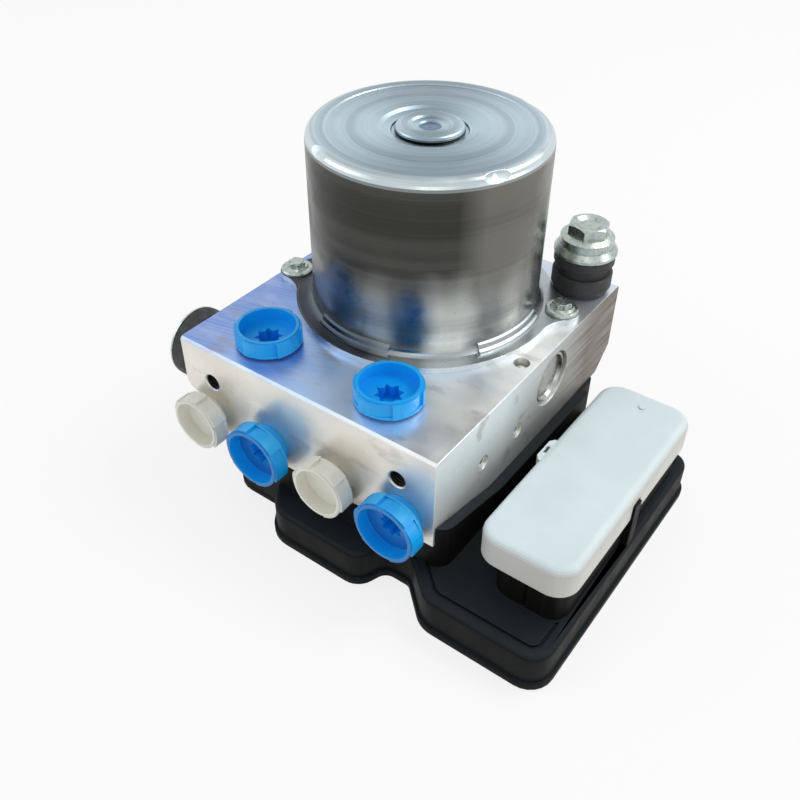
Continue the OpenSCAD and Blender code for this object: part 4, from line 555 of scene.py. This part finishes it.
# Area light that faces a point of the part
def softbox(name, place, aim, size, power, color=(1, 1, 1)):
    light = bpy.data.lights.new(name, "AREA")
    light.shape = "DISK"
    light.size = size
    light.energy = power
    light.color = color
    lamp = bpy.data.objects.new(name, light)
    lamp.location = place
    lamp.rotation_euler = (Vector(place) - Vector(aim)).to_track_quat("Z", "Y").to_euler()
    bpy.context.scene.collection.objects.link(lamp)


def studio_lights():
    middle = (0.01, -0.01, 0.05)
    softbox("key", (0.35, 0.45, 0.85), middle, 0.5, 3.2, (1.0, 0.98, 0.95))
    softbox("fill", (-0.7, -0.5, 0.6), middle, 0.6, 1.3, (0.93, 0.96, 1.0))
    softbox("front", (0.6, -0.8, 0.5), middle, 0.5, 0.65, (1.0, 0.98, 0.96))
    softbox("right", (0.85, 0.25, 0.3), middle, 0.4, 1.2, (1.0, 0.99, 0.97))


# World: soft light for the part, white where the camera sees it
def studio_world():
    world = bpy.data.worlds.new("studio")
    bpy.context.scene.world = world
    world.use_nodes = True
    tree = world.node_tree
    background = tree.nodes["Background"]
    path = tree.nodes.new("ShaderNodeLightPath")
    seen = tree.nodes.new("ShaderNodeMath")
    seen.operation = "MAXIMUM"
    tree.links.new(path.outputs["Is Camera Ray"], seen.inputs[0])
    tree.links.new(path.outputs["Is Transmission Ray"], seen.inputs[1])
    level = tree.nodes.new("ShaderNodeMapRange")
    tree.links.new(seen.outputs[0], level.inputs["Value"])
    level.inputs["To Min"].default_value = WORLD_LEVEL
    level.inputs["To Max"].default_value = 1.0
    gloss = tree.nodes.new("ShaderNodeMath")
    gloss.operation = "MAXIMUM"
    tree.links.new(level.outputs[0], gloss.inputs[0])
    tree.links.new(path.outputs["Is Glossy Ray"], gloss.inputs[1])
    tree.links.new(gloss.outputs[0], background.inputs["Strength"])
    background.inputs["Color"].default_value = (1, 1, 1, 1)


# Pale floor that shows nearly white and keeps a soft shadow
def studio_floor():
    material = bpy.data.materials.new("floor")
    material.use_nodes = True
    tree = material.node_tree
    tree.nodes.clear()
    path = tree.nodes.new("ShaderNodeLightPath")
    diffuse = tree.nodes.new("ShaderNodeBsdfDiffuse")
    diffuse.inputs["Color"].default_value = (FLOOR_ALBEDO, FLOOR_ALBEDO, FLOOR_ALBEDO, 1)
    glow = tree.nodes.new("ShaderNodeEmission")
    glow.inputs["Strength"].default_value = 1.0
    first = tree.nodes.new("ShaderNodeMath")
    first.operation = "MAXIMUM"
    tree.links.new(path.outputs["Is Camera Ray"], first.inputs[0])
    tree.links.new(path.outputs["Is Glossy Ray"], first.inputs[1])
    seen = tree.nodes.new("ShaderNodeMath")
    seen.operation = "MAXIMUM"
    tree.links.new(first.outputs[0], seen.inputs[0])
    tree.links.new(path.outputs["Is Transmission Ray"], seen.inputs[1])
    share = tree.nodes.new("ShaderNodeMath")
    share.operation = "MULTIPLY"
    share.inputs[1].default_value = FLOOR_GLOW
    tree.links.new(seen.outputs[0], share.inputs[0])
    mix = tree.nodes.new("ShaderNodeMixShader")
    tree.links.new(share.outputs[0], mix.inputs[0])
    tree.links.new(diffuse.outputs[0], mix.inputs[1])
    tree.links.new(glow.outputs[0], mix.inputs[2])
    output = tree.nodes.new("ShaderNodeOutputMaterial")
    tree.links.new(mix.outputs[0], output.inputs["Surface"])
    mesh = bpy.data.meshes.new("floor")
    bm = bmesh.new()
    bmesh.ops.create_circle(bm, cap_ends=True, radius=FLOOR_R, segments=96)
    bm.to_mesh(mesh)
    bm.free()
    mesh.materials.append(material)
    floor = bpy.data.objects.new("floor", mesh)
    bpy.context.scene.collection.objects.link(floor)


def photo_camera():
    sin_a, cos_a = math.sin(CAMERA_AZIMUTH), math.cos(CAMERA_AZIMUTH)
    sin_e, cos_e = math.sin(CAMERA_ELEVATION), math.cos(CAMERA_ELEVATION)
    back = Vector((sin_a * cos_e, -cos_a * cos_e, sin_e))
    right = Vector((cos_a, sin_a, 0))
    turn = Matrix((right, back.cross(right), back)).transposed() @ Matrix.Rotation(CAMERA_ROLL, 3, "Z")
    lens = bpy.data.cameras.new("camera")
    lens.lens = CAMERA_LENS
    lens.sensor_width = 36
    lens.clip_start = 0.01
    camera = bpy.data.objects.new("camera", lens)
    camera.matrix_world = Matrix.Translation(CAMERA_AT) @ turn.to_4x4()
    bpy.context.scene.collection.objects.link(camera)
    bpy.context.scene.camera = camera


photo_camera()
dress_nodes()
round_housing()
round_cover()
for side_name, thread_x in zip(("left", "right"), THREAD_X):
    thread_ridge("front_thread_" + side_name, thread_x, THREAD_Z)
studio_world()
studio_floor()
studio_lights()
bpy.context.scene.view_settings.view_transform = "Standard"
